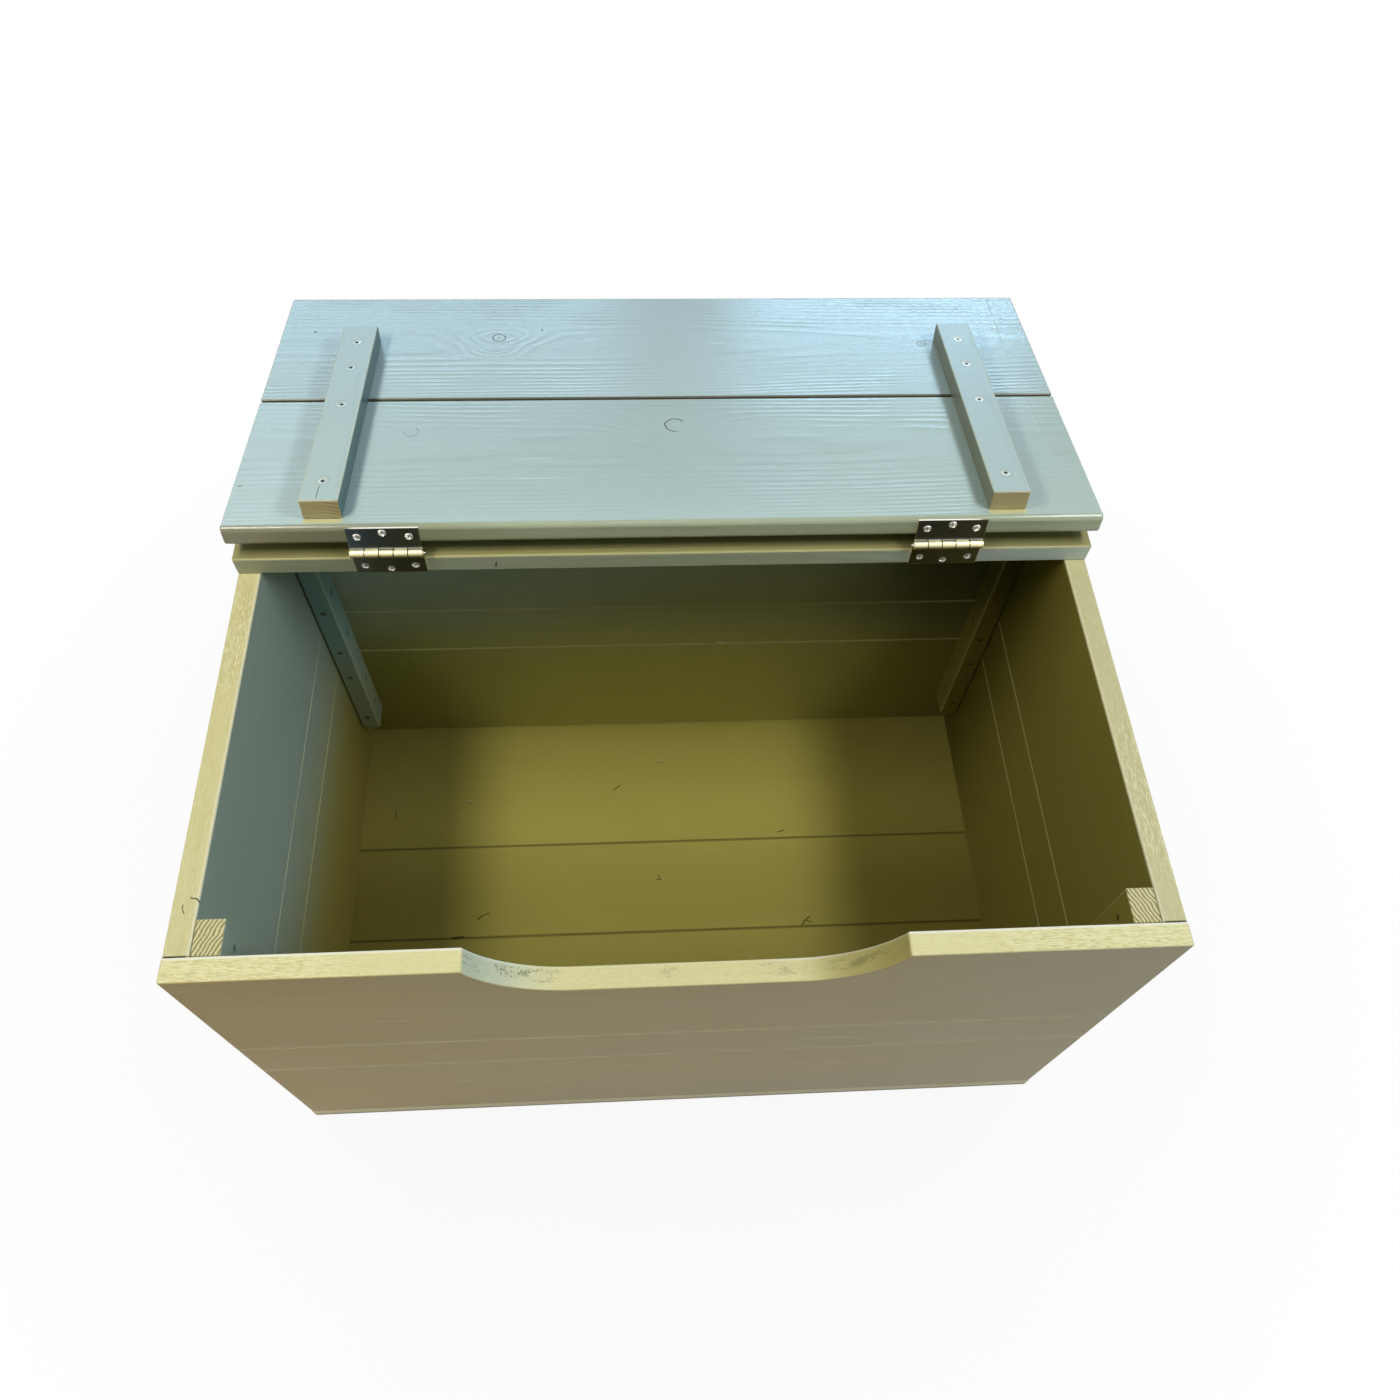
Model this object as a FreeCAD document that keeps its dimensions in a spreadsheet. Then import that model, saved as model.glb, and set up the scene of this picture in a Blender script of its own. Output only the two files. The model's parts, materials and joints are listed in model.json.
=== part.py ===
import FreeCAD, Part
import math
import os

import Sketcher
from FreeCAD import Placement, Rotation, Vector

# Lidded storage box of planed pine boards, lid thrown right back, as it stands on the floor.
# Origin: middle of the base, on the floor. +X to the right, +Y to the back, +Z up. Millimetres.

# Driving dimensions
SIZES = {
    # the box
    "box_width": 800.0,
    "box_depth": 500.0,
    "box_height": 500.0,
    "board": 20.5,
    "top_board": 194.5,
    "middle_board": 77.0,
    "floor_front": 191.0,
    "floor_middle": 117.0,
    "rail_depth": 115.0,
    "arris": 1.5,
    # tongued and grooved seams
    "tongue_thick": 6.5,
    "tongue_long": 6.0,
    "tongue_slack": 0.2,
    "seam_bevel": 1.0,
    # hand scoop in the front
    "scoop_width": 349.0,
    "scoop_depth": 55.0,
    "scoop_radius": 88.0,
    # corner posts
    "post_wide": 23.0,
    "post_deep": 30.0,
    "post_clear": 59.0,
    # lid
    "lid_seam": 3.0,
    "lid_round": 2.0,
    "lid_nose": 5.0,
    "lid_seat": 0.3,
    "batten_wide": 34.5,
    "batten_thick": 21.0,
    "batten_rear": 11.0,
    "batten_front": 89.0,
    "batten_side": 89.0,
    # butt hinges
    "leaf_clear": 1.8,
    "hinge_length": 65.0,
    "hinge_side": 141.5,
    "hinge_leaf": 29.0,
    "leaf_thick": 1.6,
    "knuckle_radius": 4.0,
    "knuckle_slack": 0.15,
    "barrel_slack": 0.4,
    "pin_slack": 0.05,
    "pin_tip": 2.5,
    "pin_high": 9.5,
    "leaf_hole_end": 9.5,
    "leaf_hole_edge": 5.5,
    "leaf_hole_step": 4.5,
    # countersunk screws
    "shank_radius": 2.0,
    "head_flare": 1.8,
    "head_sink": 0.4,
    "screw_slack": 0.1,
    "point_long": 5.0,
    "recess_wide": 1.2,
    "recess_long": 4.4,
    "recess_deep": 1.2,
    "tip_cover": 6.5,
    "edge_bite": 30.0,
    "hinge_screw_long": 16.0,
    # how far a cut runs past the face it opens
    "cut_overrun": 1.0,
}

KNUCKLES = 5

# Screw places along a post from its foot, along a batten from the hinge side,
# along half the width from the middle, and along the rail's depth from its front
WALL_SCREW_SHARES = (0.06, 0.29, 0.42, 0.61, 0.88)
SIDE_SCREW_SHARES = (0.10, 0.23, 0.47, 0.66, 0.93)
BATTEN_SCREW_SHARES = (0.10, 0.51, 0.73, 0.89)
FLOOR_SCREW_SHARES = (-0.88, -0.44, 0.0, 0.44, 0.88)
RAIL_BACK_SHARES = (-0.6, 0.0, 0.6)
RAIL_SIDE_SHARES = (0.2, 0.55)

# Places closer together than this share of an arris are taken as one
MATCH_SHARE = 0.05


class Size:
    """A length with its value and the sheet formula that gives it."""

    def __init__(self, value, formula):
        self.value = float(value)
        self.formula = formula

    def __add__(self, other):
        other = as_size(other)
        return Size(self.value + other.value, f"({self.formula} + {other.formula})")

    def __sub__(self, other):
        other = as_size(other)
        return Size(self.value - other.value, f"({self.formula} - {other.formula})")

    def __mul__(self, factor):
        factor = as_size(factor)
        return Size(self.value * factor.value, f"({self.formula} * {factor.formula})")

    def __truediv__(self, divisor):
        divisor = as_size(divisor)
        return Size(self.value / divisor.value, f"({self.formula} / {divisor.formula})")

    def __neg__(self):
        return Size(-self.value, f"(-{self.formula})")

    def root(self):
        return Size(math.sqrt(self.value), f"sqrt({self.formula})")


def as_size(number):
    return number if isinstance(number, Size) else Size(number, f"({float(number)!r})")


doc = FreeCAD.newDocument("storage_box")
sheet = doc.addObject("Spreadsheet::Sheet", "Sizes")
named = {}
for row, (name, value) in enumerate(SIZES.items(), start=1):
    sheet.set(f"A{row}", name)
    sheet.set(f"B{row}", str(value))
    sheet.setAlias(f"B{row}", name)
    named[name] = Size(value, f"Sizes.{name}")
doc.recompute()


def size(name):
    return named[name]


ZERO = as_size(0)
BOARD = size("board")
HALF_WIDTH = size("box_width") / 2
HALF_DEPTH = size("box_depth") / 2
RIM = size("box_height") - BOARD
BOTTOM_BOARD = RIM - BOARD - size("top_board") - size("middle_board")
FLOOR_BACK = size("box_depth") - size("floor_front") - size("floor_middle")
SIDE_LENGTH = size("box_depth") - BOARD * 2
RAIL_FRONT = HALF_DEPTH - size("rail_depth")
POST_FOOT = BOARD + size("post_clear")
POST_LONG = RIM - POST_FOOT
HINGE_GAP = size("leaf_thick") * 2 + size("leaf_clear")
HINGE_X = HALF_WIDTH - size("hinge_side")
PIVOT_Y = RAIL_FRONT - HINGE_GAP / 2
PIVOT_Z = RIM + BOARD + size("pin_high")
LID_LONG = size("box_depth") - size("rail_depth") - HINGE_GAP
LID_BOARD = (LID_LONG - size("lid_seam")) / 2
LID_UNDER = size("lid_seat") - size("pin_high") - BOARD
BATTEN_UNDER = LID_UNDER - size("batten_thick")
BATTEN_X = HALF_WIDTH - size("batten_side")
BATTEN_LONG = LID_LONG - size("batten_rear") - size("batten_front")
LEAF_FACE = size("leaf_clear") / 2
PIN_RADIUS = size("knuckle_radius") - size("leaf_thick") - size("pin_slack")
HEAD_RADIUS = size("shank_radius") + size("head_flare")
WALL_BITE = BOARD - size("tip_cover")


def open_angle():
    """Degrees from shut to lying back on the rounded rear arris of the rail."""
    arris = size("arris").value
    seat = size("lid_seat").value
    back = (size("rail_depth") + HINGE_GAP / 2).value - arris
    down = size("pin_high").value + arris
    lid_face = size("pin_high").value - seat
    reach = math.hypot(back, down)
    past_level = math.asin((lid_face - seat - arris) / reach) + math.atan2(down, back)
    return math.degrees(math.pi + past_level)


OPEN_ANGLE = open_angle()
LID_FRAME = Placement(
    Vector(0, PIVOT_Y.value, PIVOT_Z.value),
    Rotation(Vector(1, 0, 0), -OPEN_ANGLE),
)

nodes = {}


def keep(name, thing):
    """Enters a finished piece under the name of its node."""
    thing.Label = name
    nodes[name] = thing
    return thing


def place(body, x, y, z):
    """Stands a piece of the box at a point given in sheet sizes."""
    for axis, length in zip("xyz", (x, y, z)):
        body.setExpression(f"Placement.Base.{axis}", length.formula)


def new_sketch(body, plane, name):
    sketch = body.newObject("Sketcher::SketchObject", name)
    origin_plane = next(item for item in body.Origin.OriginFeatures if item.Role == plane)
    sketch.AttachmentSupport = [(origin_plane, "")]
    sketch.MapMode = "FlatFace"
    return sketch


def pin_point(sketch, element, end, u, v):
    """Ties one end of a line or arc to its two sheet sizes."""
    for kind, length in (("DistanceX", u), ("DistanceY", v)):
        rule = Sketcher.Constraint(kind, -1, 1, element, end, length.value)
        sketch.setExpression(f"Constraints[{sketch.addConstraint(rule)}]", length.formula)


def outline(sketch, corners, radius=None, arcs=()):
    """Closes an outline through its corners. The sides listed in arcs are hollow rounds."""
    first = sketch.GeometryCount
    count = len(corners)
    points = [Vector(u.value, v.value, 0) for u, v in corners]
    for side in range(count):
        start, end = points[side], points[(side + 1) % count]
        if side in arcs:
            chord = end - start
            sag = radius.value - math.sqrt(radius.value**2 - chord.Length**2 / 4)
            outward = Vector(chord.y, -chord.x, 0).normalize()
            sketch.addGeometry(Part.Arc(start, (start + end) / 2 + outward * sag, end), False)
        else:
            sketch.addGeometry(Part.LineSegment(start, end), False)
    for side in range(count):
        following = first + (side + 1) % count
        sketch.addConstraint(Sketcher.Constraint("Coincident", first + side, 2, following, 1))
        pin_point(sketch, first + side, 1, *corners[side])
        if side in arcs:
            rule = Sketcher.Constraint("Radius", first + side, radius.value)
            sketch.setExpression(f"Constraints[{sketch.addConstraint(rule)}]", radius.formula)


def ring(sketch, radius):
    """Draws a circle about the sketch's own origin."""
    circle = sketch.addGeometry(Part.Circle(Vector(0, 0, 0), Vector(0, 0, 1), radius.value), False)
    sketch.addConstraint(Sketcher.Constraint("Coincident", circle, 3, -1, 1))
    rule = Sketcher.Constraint("Radius", circle, radius.value)
    sketch.setExpression(f"Constraints[{sketch.addConstraint(rule)}]", radius.formula)


def box_corners(low_u, low_v, high_u, high_v):
    return [(low_u, low_v), (high_u, low_v), (high_u, high_v), (low_u, high_v)]


def pad(body, sketch, name, length):
    """Thickens a sketch evenly to both sides of its plane."""
    feature = body.newObject("PartDesign::Pad", name)
    feature.Profile = sketch
    feature.setExpression("Length", length.formula)
    feature.Midplane = True
    sketch.Visibility = False
    doc.recompute()
    return feature


def pocket_through(body, sketch, name):
    """Cuts a sketch's outline right through to both sides of its plane."""
    before = body.Shape.Volume
    feature = body.newObject("PartDesign::Pocket", name)
    feature.Profile = sketch
    feature.Type = "ThroughAll"
    feature.Midplane = True
    doc.recompute()
    if not body.Shape.Volume < before:
        raise RuntimeError(f"{body.Name}: {name} cut nothing")
    return feature


def round_all(body, base, radius):
    """Takes the sharpness off every edge."""
    feature = body.newObject("PartDesign::Fillet", "soft_edges")
    feature.Base = (base, [])
    feature.UseAllEdges = True
    feature.setExpression("Radius", radius.formula)
    doc.recompute()
    return feature


def round_where(body, base, radius, name, wanted):
    """Rounds the edges whose bounding box passes the test."""
    names = [f"Edge{i}" for i, edge in enumerate(base.Shape.Edges, 1) if wanted(edge.BoundBox)]
    feature = body.newObject("PartDesign::Fillet", name)
    feature.Base = (base, names)
    feature.setExpression("Radius", radius.formula)
    doc.recompute()
    return feature


# Countersunk screws


def screw_corners(length, slack, top):
    """Half outline of a screw, head face at zero, point downwards."""
    head = HEAD_RADIUS + slack
    shank = size("shank_radius") + slack
    tip = -(length + slack)
    neck = -size("head_flare")
    corners = [(ZERO, tip), (shank, size("point_long") - length), (shank, neck), (head, ZERO)]
    if top is not ZERO:
        corners.append((head, top))
    return corners + [(ZERO, top)]


def turned(name, corners):
    """A solid of revolution about Z."""
    body = doc.addObject("PartDesign::Body", name)
    sketch = new_sketch(body, "XZ_Plane", f"{name}_half")
    outline(sketch, corners)
    feature = body.newObject("PartDesign::Revolution", f"{name}_turned")
    feature.Profile = sketch
    feature.ReferenceAxis = (sketch, ["V_Axis"])
    doc.recompute()
    return body


def screw_pattern(name, length):
    """One screw with its cross recess, and the hole that takes it."""
    body = turned(name, screw_corners(length, ZERO, ZERO))
    before = body.Shape.Volume
    sketch = new_sketch(body, "XY_Plane", f"{name}_cross")
    arm, half = size("recess_long") / 2, size("recess_wide") / 2
    outline(sketch, [
        (arm, -half), (arm, half), (half, half), (half, arm), (-half, arm), (-half, half),
        (-arm, half), (-arm, -half), (-half, -half), (-half, -arm), (half, -arm), (half, -half),
    ])
    recess = body.newObject("PartDesign::Pocket", f"{name}_recess")
    recess.Profile = sketch
    recess.setExpression("Length", size("recess_deep").formula)
    doc.recompute()
    if not body.Shape.Volume < before:
        raise RuntimeError(f"{name}: the cross recess cut nothing")
    hole = turned(f"{name}_hole", screw_corners(length, size("screw_slack"), size("cut_overrun")))
    return body, hole


def drive(name, pattern, places, frame=Placement()):
    """A group of screws with their heads at places, each a point and the way it is driven."""
    screw, hole = pattern
    seats = [frame * Placement(point, Rotation(Vector(0, 0, -1), way)) for point, way in places]
    groups = []
    for label, master in ((name, screw), (f"{name}_holes", hole)):
        group = doc.addObject("Part::Feature", label)
        group.Shape = Part.makeCompound([master.Shape.transformed(seat.toMatrix()) for seat in seats])
        groups.append(group)
    keep(name, groups[0])
    return groups[1]


def drilled(name, body, *holes):
    """The piece with every hole that reaches it."""
    reach = body.Shape.BoundBox
    near = [solid for group in holes for solid in group.Shape.Solids if solid.BoundBox.intersect(reach)]
    if not near:
        return keep(name, body)
    tool = doc.addObject("Part::Feature", f"{name}_drill")
    tool.Shape = Part.makeCompound(near)
    cut = doc.addObject("Part::Cut", f"{name}_drilled")
    cut.Base = body
    cut.Tool = tool
    doc.recompute()
    return keep(name, cut)


wall_screw = screw_pattern("wall_screw", size("post_deep") + WALL_BITE)
side_screw = screw_pattern("side_screw", size("post_wide") + WALL_BITE)
edge_screw = screw_pattern("edge_screw", BOARD + size("edge_bite"))
batten_screw = screw_pattern("batten_screw", size("batten_thick") + WALL_BITE)
hinge_screw = screw_pattern("hinge_screw", size("hinge_screw_long"))

SINK = size("head_sink").value
CORNERS = [(across, along) for along in (-1, 1) for across in (-1, 1)]


def post_screws():
    """Rows of screws through each post into the wall behind it and the side beside it."""
    half_x = (HALF_WIDTH - BOARD).value
    half_y = (HALF_DEPTH - BOARD).value
    wide, deep = size("post_wide").value, size("post_deep").value
    into_walls, into_sides = [], []
    for across, along in CORNERS:
        for share in WALL_SCREW_SHARES:
            z = (POST_FOOT + POST_LONG * share).value
            point = Vector(across * (half_x - wide / 2), along * (half_y - deep + SINK), z)
            into_walls.append((point, Vector(0, along, 0)))
        for share in SIDE_SCREW_SHARES:
            z = (POST_FOOT + POST_LONG * share).value
            point = Vector(across * (half_x - wide + SINK), along * (half_y - deep / 2), z)
            into_sides.append((point, Vector(across, 0, 0)))
    return drive("wall_screws", wall_screw, into_walls), drive("side_screws", side_screw, into_sides)


def floor_screws():
    """Screws from below, through the floor into the feet of the walls."""
    up = Vector(0, 0, 1)
    edge_x = (HALF_WIDTH - BOARD / 2).value
    edge_y = (HALF_DEPTH - BOARD / 2).value
    places = []
    for along in (-1, 1):
        for share in FLOOR_SCREW_SHARES:
            places.append((Vector((HALF_WIDTH * share).value, along * edge_y, SINK), up))
    middles = (
        size("floor_front") / 2 - HALF_DEPTH,
        size("floor_front") + size("floor_middle") / 2 - HALF_DEPTH,
        HALF_DEPTH - FLOOR_BACK / 2,
    )
    for across in (-1, 1):
        for middle in middles:
            places.append((Vector(across * edge_x, middle.value, SINK), up))
    return drive("floor_screws", edge_screw, places)


def rail_screws():
    """Screws from above, through the rear rail into the sides and the back."""
    down = Vector(0, 0, -1)
    z = (RIM + BOARD).value - SINK
    places = []
    for share in RAIL_BACK_SHARES:
        places.append((Vector((HALF_WIDTH * share).value, (HALF_DEPTH - BOARD / 2).value, z), down))
    for across in (-1, 1):
        for share in RAIL_SIDE_SHARES:
            y = (RAIL_FRONT + size("rail_depth") * share).value
            places.append((Vector(across * (HALF_WIDTH - BOARD / 2).value, y, z), down))
    return drive("rail_screws", edge_screw, places)


HINGES = (("left_hinge", -1), ("right_hinge", 1))


def leaf_screw_places(side, across):
    """Three staggered screws in a leaf, seen from the pin with the lid shut."""
    middle = across * HINGE_X.value
    face = side * LEAF_FACE.value
    pitch = (size("hinge_length") / 2 - size("leaf_hole_end")).value
    far = (size("hinge_leaf") - size("leaf_hole_edge")).value
    near = far - size("leaf_hole_step").value
    spots = ((middle - pitch, -near), (middle, -far), (middle + pitch, -near))
    return [(Vector(x, face, z), Vector(0, side, 0)) for x, z in spots]


def batten_screw_places():
    """Four screws up through each batten into the lid."""
    face = BATTEN_UNDER.value + SINK
    rear = -(HINGE_GAP / 2 + size("batten_rear"))
    places = []
    for across in (-1, 1):
        x = across * BATTEN_X.value
        for share in BATTEN_SCREW_SHARES:
            y = (rear - BATTEN_LONG * share).value
            places.append((Vector(x, y, face), Vector(0, 0, 1)))
    return places


wall_holes, side_holes = post_screws()
floor_holes = floor_screws()
rail_holes = rail_screws()
PIN_FRAME = Placement(Vector(0, PIVOT_Y.value, PIVOT_Z.value), Rotation())
rail_leaf_places = [spot for _, across in HINGES for spot in leaf_screw_places(1, across)]
lid_leaf_places = [spot for _, across in HINGES for spot in leaf_screw_places(-1, across)]
rail_leaf_holes = drive("rail_hinge_screws", hinge_screw, rail_leaf_places, PIN_FRAME)
lid_leaf_holes = drive("lid_hinge_screws", hinge_screw, lid_leaf_places, LID_FRAME)
batten_holes = drive("batten_screws", batten_screw, batten_screw_places(), LID_FRAME)

# Tongued and grooved boards


def board_corners(wide, lower, upper):
    """Section of a board: thickness first, then width from its lower or front edge.

    An edge is grooved, tongued, bevelled like its seams, or square.
    """
    bevel = size("seam_bevel")
    middle, half, slack = BOARD / 2, size("tongue_thick") / 2, size("tongue_slack")
    corners = [(ZERO, ZERO), (BOARD, ZERO)]
    if lower != "square":
        corners = [(ZERO, bevel), (bevel, ZERO), (BOARD - bevel, ZERO), (BOARD, bevel)]
    if lower == "groove":
        depth = size("tongue_long") + slack
        near, far = middle - half - slack, middle + half + slack
        corners[2:2] = [(near, ZERO), (near, depth), (far, depth), (far, ZERO)]
    if upper == "square":
        return corners + [(BOARD, wide), (ZERO, wide)]
    corners += [(BOARD, wide - bevel), (BOARD - bevel, wide)]
    if upper == "tongue":
        tip = wide + size("tongue_long")
        near, far = middle - half, middle + half
        corners += [(far, wide), (far, tip), (near, tip), (near, wide)]
    return corners + [(bevel, wide), (ZERO, wide - bevel)]


def plank(name, plane, corners, length):
    """A board of the given section, lying evenly to both sides of its plane."""
    body = doc.addObject("PartDesign::Body", f"{name}_board")
    sketch = new_sketch(body, plane, f"{name}_section")
    outline(sketch, corners)
    return body, pad(body, sketch, f"{name}_length", length)


def cut_scoop(body):
    """The hand scoop in the front's top edge: flat bottom, round ends."""
    half, depth, radius = size("scoop_width") / 2, size("scoop_depth"), size("scoop_radius")
    rim, over = size("top_board"), size("cut_overrun")
    flat = half - (radius * radius - (radius - depth) * (radius - depth)).root()
    sketch = new_sketch(body, "XZ_Plane", "scoop_outline")
    corners = [(-half, rim + over), (-half, rim), (-flat, rim - depth)]
    corners += [(flat, rim - depth), (half, rim), (half, rim + over)]
    outline(sketch, corners, radius, arcs=(1, 3))
    return pocket_through(body, sketch, "scoop")


LEVELS = (
    ("bottom", BOARD, BOTTOM_BOARD, "bevel", "tongue"),
    ("middle", BOARD + BOTTOM_BOARD, size("middle_board"), "groove", "tongue"),
    ("top", RIM - size("top_board"), size("top_board"), "groove", "square"),
)
WALLS = (
    ("front", "YZ_Plane", ZERO, -HALF_DEPTH, size("box_width")),
    ("back", "YZ_Plane", ZERO, HALF_DEPTH - BOARD, size("box_width")),
    ("left", "XZ_Plane", -HALF_WIDTH, ZERO, SIDE_LENGTH),
    ("right", "XZ_Plane", HALF_WIDTH - BOARD, ZERO, SIDE_LENGTH),
)


def soften(body, base, wall, level):
    """Rounds the edges that the hand meets: the rim, the scoop and the box's upright corners."""
    tiny = size("arris").value * MATCH_SHARE
    rim = size("top_board").value
    scoop = size("scoop_width").value / 2
    lowest = rim - size("scoop_depth").value if wall == "front" else rim
    outer = {"front": ZERO, "back": BOARD}

    def wanted(edge):
        if wall in outer:
            thick, face = edge.YLength, outer[wall].value
            upright = edge.ZLength > size("middle_board").value / 2
            if upright and abs(edge.YMax - face) < tiny and thick < tiny:
                return True
        else:
            thick = edge.XLength
        if level != "top":
            return False
        scoop_corner = wall == "front" and edge.ZMin > rim - tiny and abs(edge.XMax) < scoop + tiny
        return scoop_corner or (thick < tiny and edge.ZMin > lowest - tiny)

    round_where(body, base, size("arris"), "soft_edges", wanted)


def build_walls():
    for wall, plane, x, y, length in WALLS:
        for level, z, wide, lower, upper in LEVELS:
            name = f"{wall}_{level}_board"
            body, tip = plank(f"{wall}_{level}", plane, board_corners(wide, lower, upper), length)
            if name == "front_top_board":
                tip = cut_scoop(body)
            if level == "top" or wall in ("front", "back"):
                soften(body, tip, wall, level)
            place(body, x, y, z)
            doc.recompute()
            drilled(name, body, wall_holes, side_holes, floor_holes, rail_holes)


def build_floor():
    """Three boards under the walls, running from side to side."""
    boards = (
        ("front", -HALF_DEPTH, size("floor_front"), "bevel", "tongue"),
        ("middle", size("floor_front") - HALF_DEPTH, size("floor_middle"), "groove", "tongue"),
        ("back", HALF_DEPTH - FLOOR_BACK, FLOOR_BACK, "groove", "bevel"),
    )
    for part, y, wide, front, back in boards:
        corners = [(v, u) for u, v in reversed(board_corners(wide, front, back))]
        body, _ = plank(f"floor_{part}", "YZ_Plane", corners, size("box_width"))
        place(body, ZERO, y, ZERO)
        doc.recompute()
        drilled(f"floor_{part}_board", body, floor_holes)


def build_posts():
    """Four square posts that tie the corners together, flush with the rim."""
    wide, deep = size("post_wide"), size("post_deep")
    for across, along in CORNERS:
        name = f"{'front' if along < 0 else 'rear'}_{'left' if across < 0 else 'right'}_post"
        body = doc.addObject("PartDesign::Body", f"{name}_stick")
        sketch = new_sketch(body, "XY_Plane", f"{name}_section")
        outline(sketch, box_corners(-wide / 2, -deep / 2, wide / 2, deep / 2))
        stick = pad(body, sketch, f"{name}_length", POST_LONG)
        round_all(body, stick, size("arris"))
        x = (HALF_WIDTH - BOARD - wide / 2) * across
        y = (HALF_DEPTH - BOARD - deep / 2) * along
        place(body, x, y, RIM - POST_LONG / 2)
        doc.recompute()
        drilled(name, body, wall_holes, side_holes)


def build_rail():
    """The fixed strip along the back that carries the hinges."""
    corners = box_corners(ZERO, ZERO, size("rail_depth"), BOARD)
    body, strip = plank("rear_rail", "YZ_Plane", corners, size("box_width"))
    round_all(body, strip, size("arris"))
    place(body, ZERO, RAIL_FRONT, RIM)
    doc.recompute()
    drilled("rear_rail", body, rail_holes, rail_leaf_holes)


def round_lid_board(body, slab, nose):
    """Gives a lid board a round nose along its outer edge, and takes the sharpness off the rest."""
    tiny = size("arris").value * MATCH_SHARE

    def from_nose(line):
        return min(abs(line.YMin - nose.value), abs(line.YMax - nose.value))

    def on_nose(line):
        return line.XLength > tiny and from_nose(line) < tiny

    def elsewhere(line):
        return line.XLength < tiny or from_nose(line) > size("lid_nose").value + tiny

    nosed = round_where(body, slab, size("lid_nose"), "nose", on_nose)
    round_where(body, nosed, size("lid_round"), "soft_edges", elsewhere)


def build_lid():
    """Two boards side by side, held by two battens underneath."""
    rear_edge = -HINGE_GAP / 2
    seam_edge = rear_edge - LID_BOARD - size("lid_seam")
    boards = (
        ("lid_rear_board", rear_edge, rear_edge),
        ("lid_front_board", seam_edge, seam_edge - LID_BOARD),
    )
    for name, edge, nose in boards:
        corners = box_corners(edge - LID_BOARD, LID_UNDER, edge, LID_UNDER + BOARD)
        body, slab = plank(name, "YZ_Plane", corners, size("box_width"))
        round_lid_board(body, slab, nose)
        body.Placement = LID_FRAME
        doc.recompute()
        drilled(name, body, batten_holes, lid_leaf_holes)
    rear = rear_edge - size("batten_rear")
    for name, across in (("left_batten", -1), ("right_batten", 1)):
        corners = box_corners(rear - BATTEN_LONG, BATTEN_UNDER, rear, LID_UNDER)
        body, stick = plank(name, "YZ_Plane", corners, size("batten_wide"))
        round_all(body, stick, size("arris"))
        offset = Vector(across * BATTEN_X.value, 0, 0)
        body.Placement = LID_FRAME * Placement(offset, Rotation())
        doc.recompute()
        drilled(name, body, batten_holes)


def leaf(name, side, open_knuckles):
    """A hinge leaf about the pin: plate, curled knuckles, and gaps for the other leaf's knuckles."""
    radius, slack = size("knuckle_radius"), size("knuckle_slack")
    body = doc.addObject("PartDesign::Body", f"{name}_plate")
    section = new_sketch(body, "YZ_Plane", f"{name}_section")
    inner, outer = LEAF_FACE * side, HINGE_GAP / 2 * side
    low, high = (inner, outer) if side > 0 else (outer, inner)
    outline(section, box_corners(low, -size("hinge_leaf"), high, ZERO))
    pad(body, section, f"{name}_sheet", size("hinge_length"))
    barrel = new_sketch(body, "YZ_Plane", f"{name}_round")
    ring(barrel, radius)
    pad(body, barrel, f"{name}_barrel", size("hinge_length"))
    gaps = new_sketch(body, "XZ_Plane", f"{name}_gaps")
    pitch = size("hinge_length") / KNUCKLES
    for number in open_knuckles:
        start = pitch * number - size("hinge_length") / 2 - slack
        stop = pitch * (number + 1) - size("hinge_length") / 2 + slack
        foot = -(radius + size("barrel_slack"))
        outline(gaps, box_corners(start, foot, stop, radius + size("cut_overrun")))
    pocket_through(body, gaps, f"{name}_knuckles")
    bore = new_sketch(body, "YZ_Plane", f"{name}_bore_round")
    ring(bore, radius - size("leaf_thick"))
    pocket_through(body, bore, f"{name}_bore")
    return body


def hinge_pin(name, across):
    """The pin, with its bare tip at the end nearer the middle of the box."""
    half = size("hinge_length") / 2
    body = doc.addObject("PartDesign::Body", f"{name}_rod")
    sketch = new_sketch(body, "XZ_Plane", f"{name}_half")
    tip = half + size("pin_tip")
    outline(sketch, [
        (-half, ZERO), (tip, ZERO), (tip, PIN_RADIUS / 2),
        (half + size("pin_tip") / 2, PIN_RADIUS), (-half, PIN_RADIUS),
    ])
    feature = body.newObject("PartDesign::Revolution", f"{name}_turned")
    feature.Profile = sketch
    feature.ReferenceAxis = (sketch, ["H_Axis"])
    if across > 0:
        body.Placement.Rotation = Rotation(Vector(0, 1, 0), Vector(0, -1, 0))
    return body


def build_hinges():
    rail_gaps = range(1, KNUCKLES, 2)
    lid_gaps = range(0, KNUCKLES, 2)
    for hinge, across in HINGES:
        x = HINGE_X * across
        rail_leaf = leaf(f"{hinge}_rail_leaf", 1, rail_gaps)
        place(rail_leaf, x, PIVOT_Y, PIVOT_Z)
        lid_leaf = leaf(f"{hinge}_lid_leaf", -1, lid_gaps)
        lid_leaf.Placement = LID_FRAME * Placement(Vector(x.value, 0, 0), Rotation())
        pin = hinge_pin(f"{hinge}_pin", across)
        place(pin, x, PIVOT_Y, PIVOT_Z)
        doc.recompute()
        drilled(f"{hinge}_rail_leaf", rail_leaf, rail_leaf_holes)
        drilled(f"{hinge}_lid_leaf", lid_leaf, lid_leaf_holes)
        keep(f"{hinge}_pin", pin)


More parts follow.
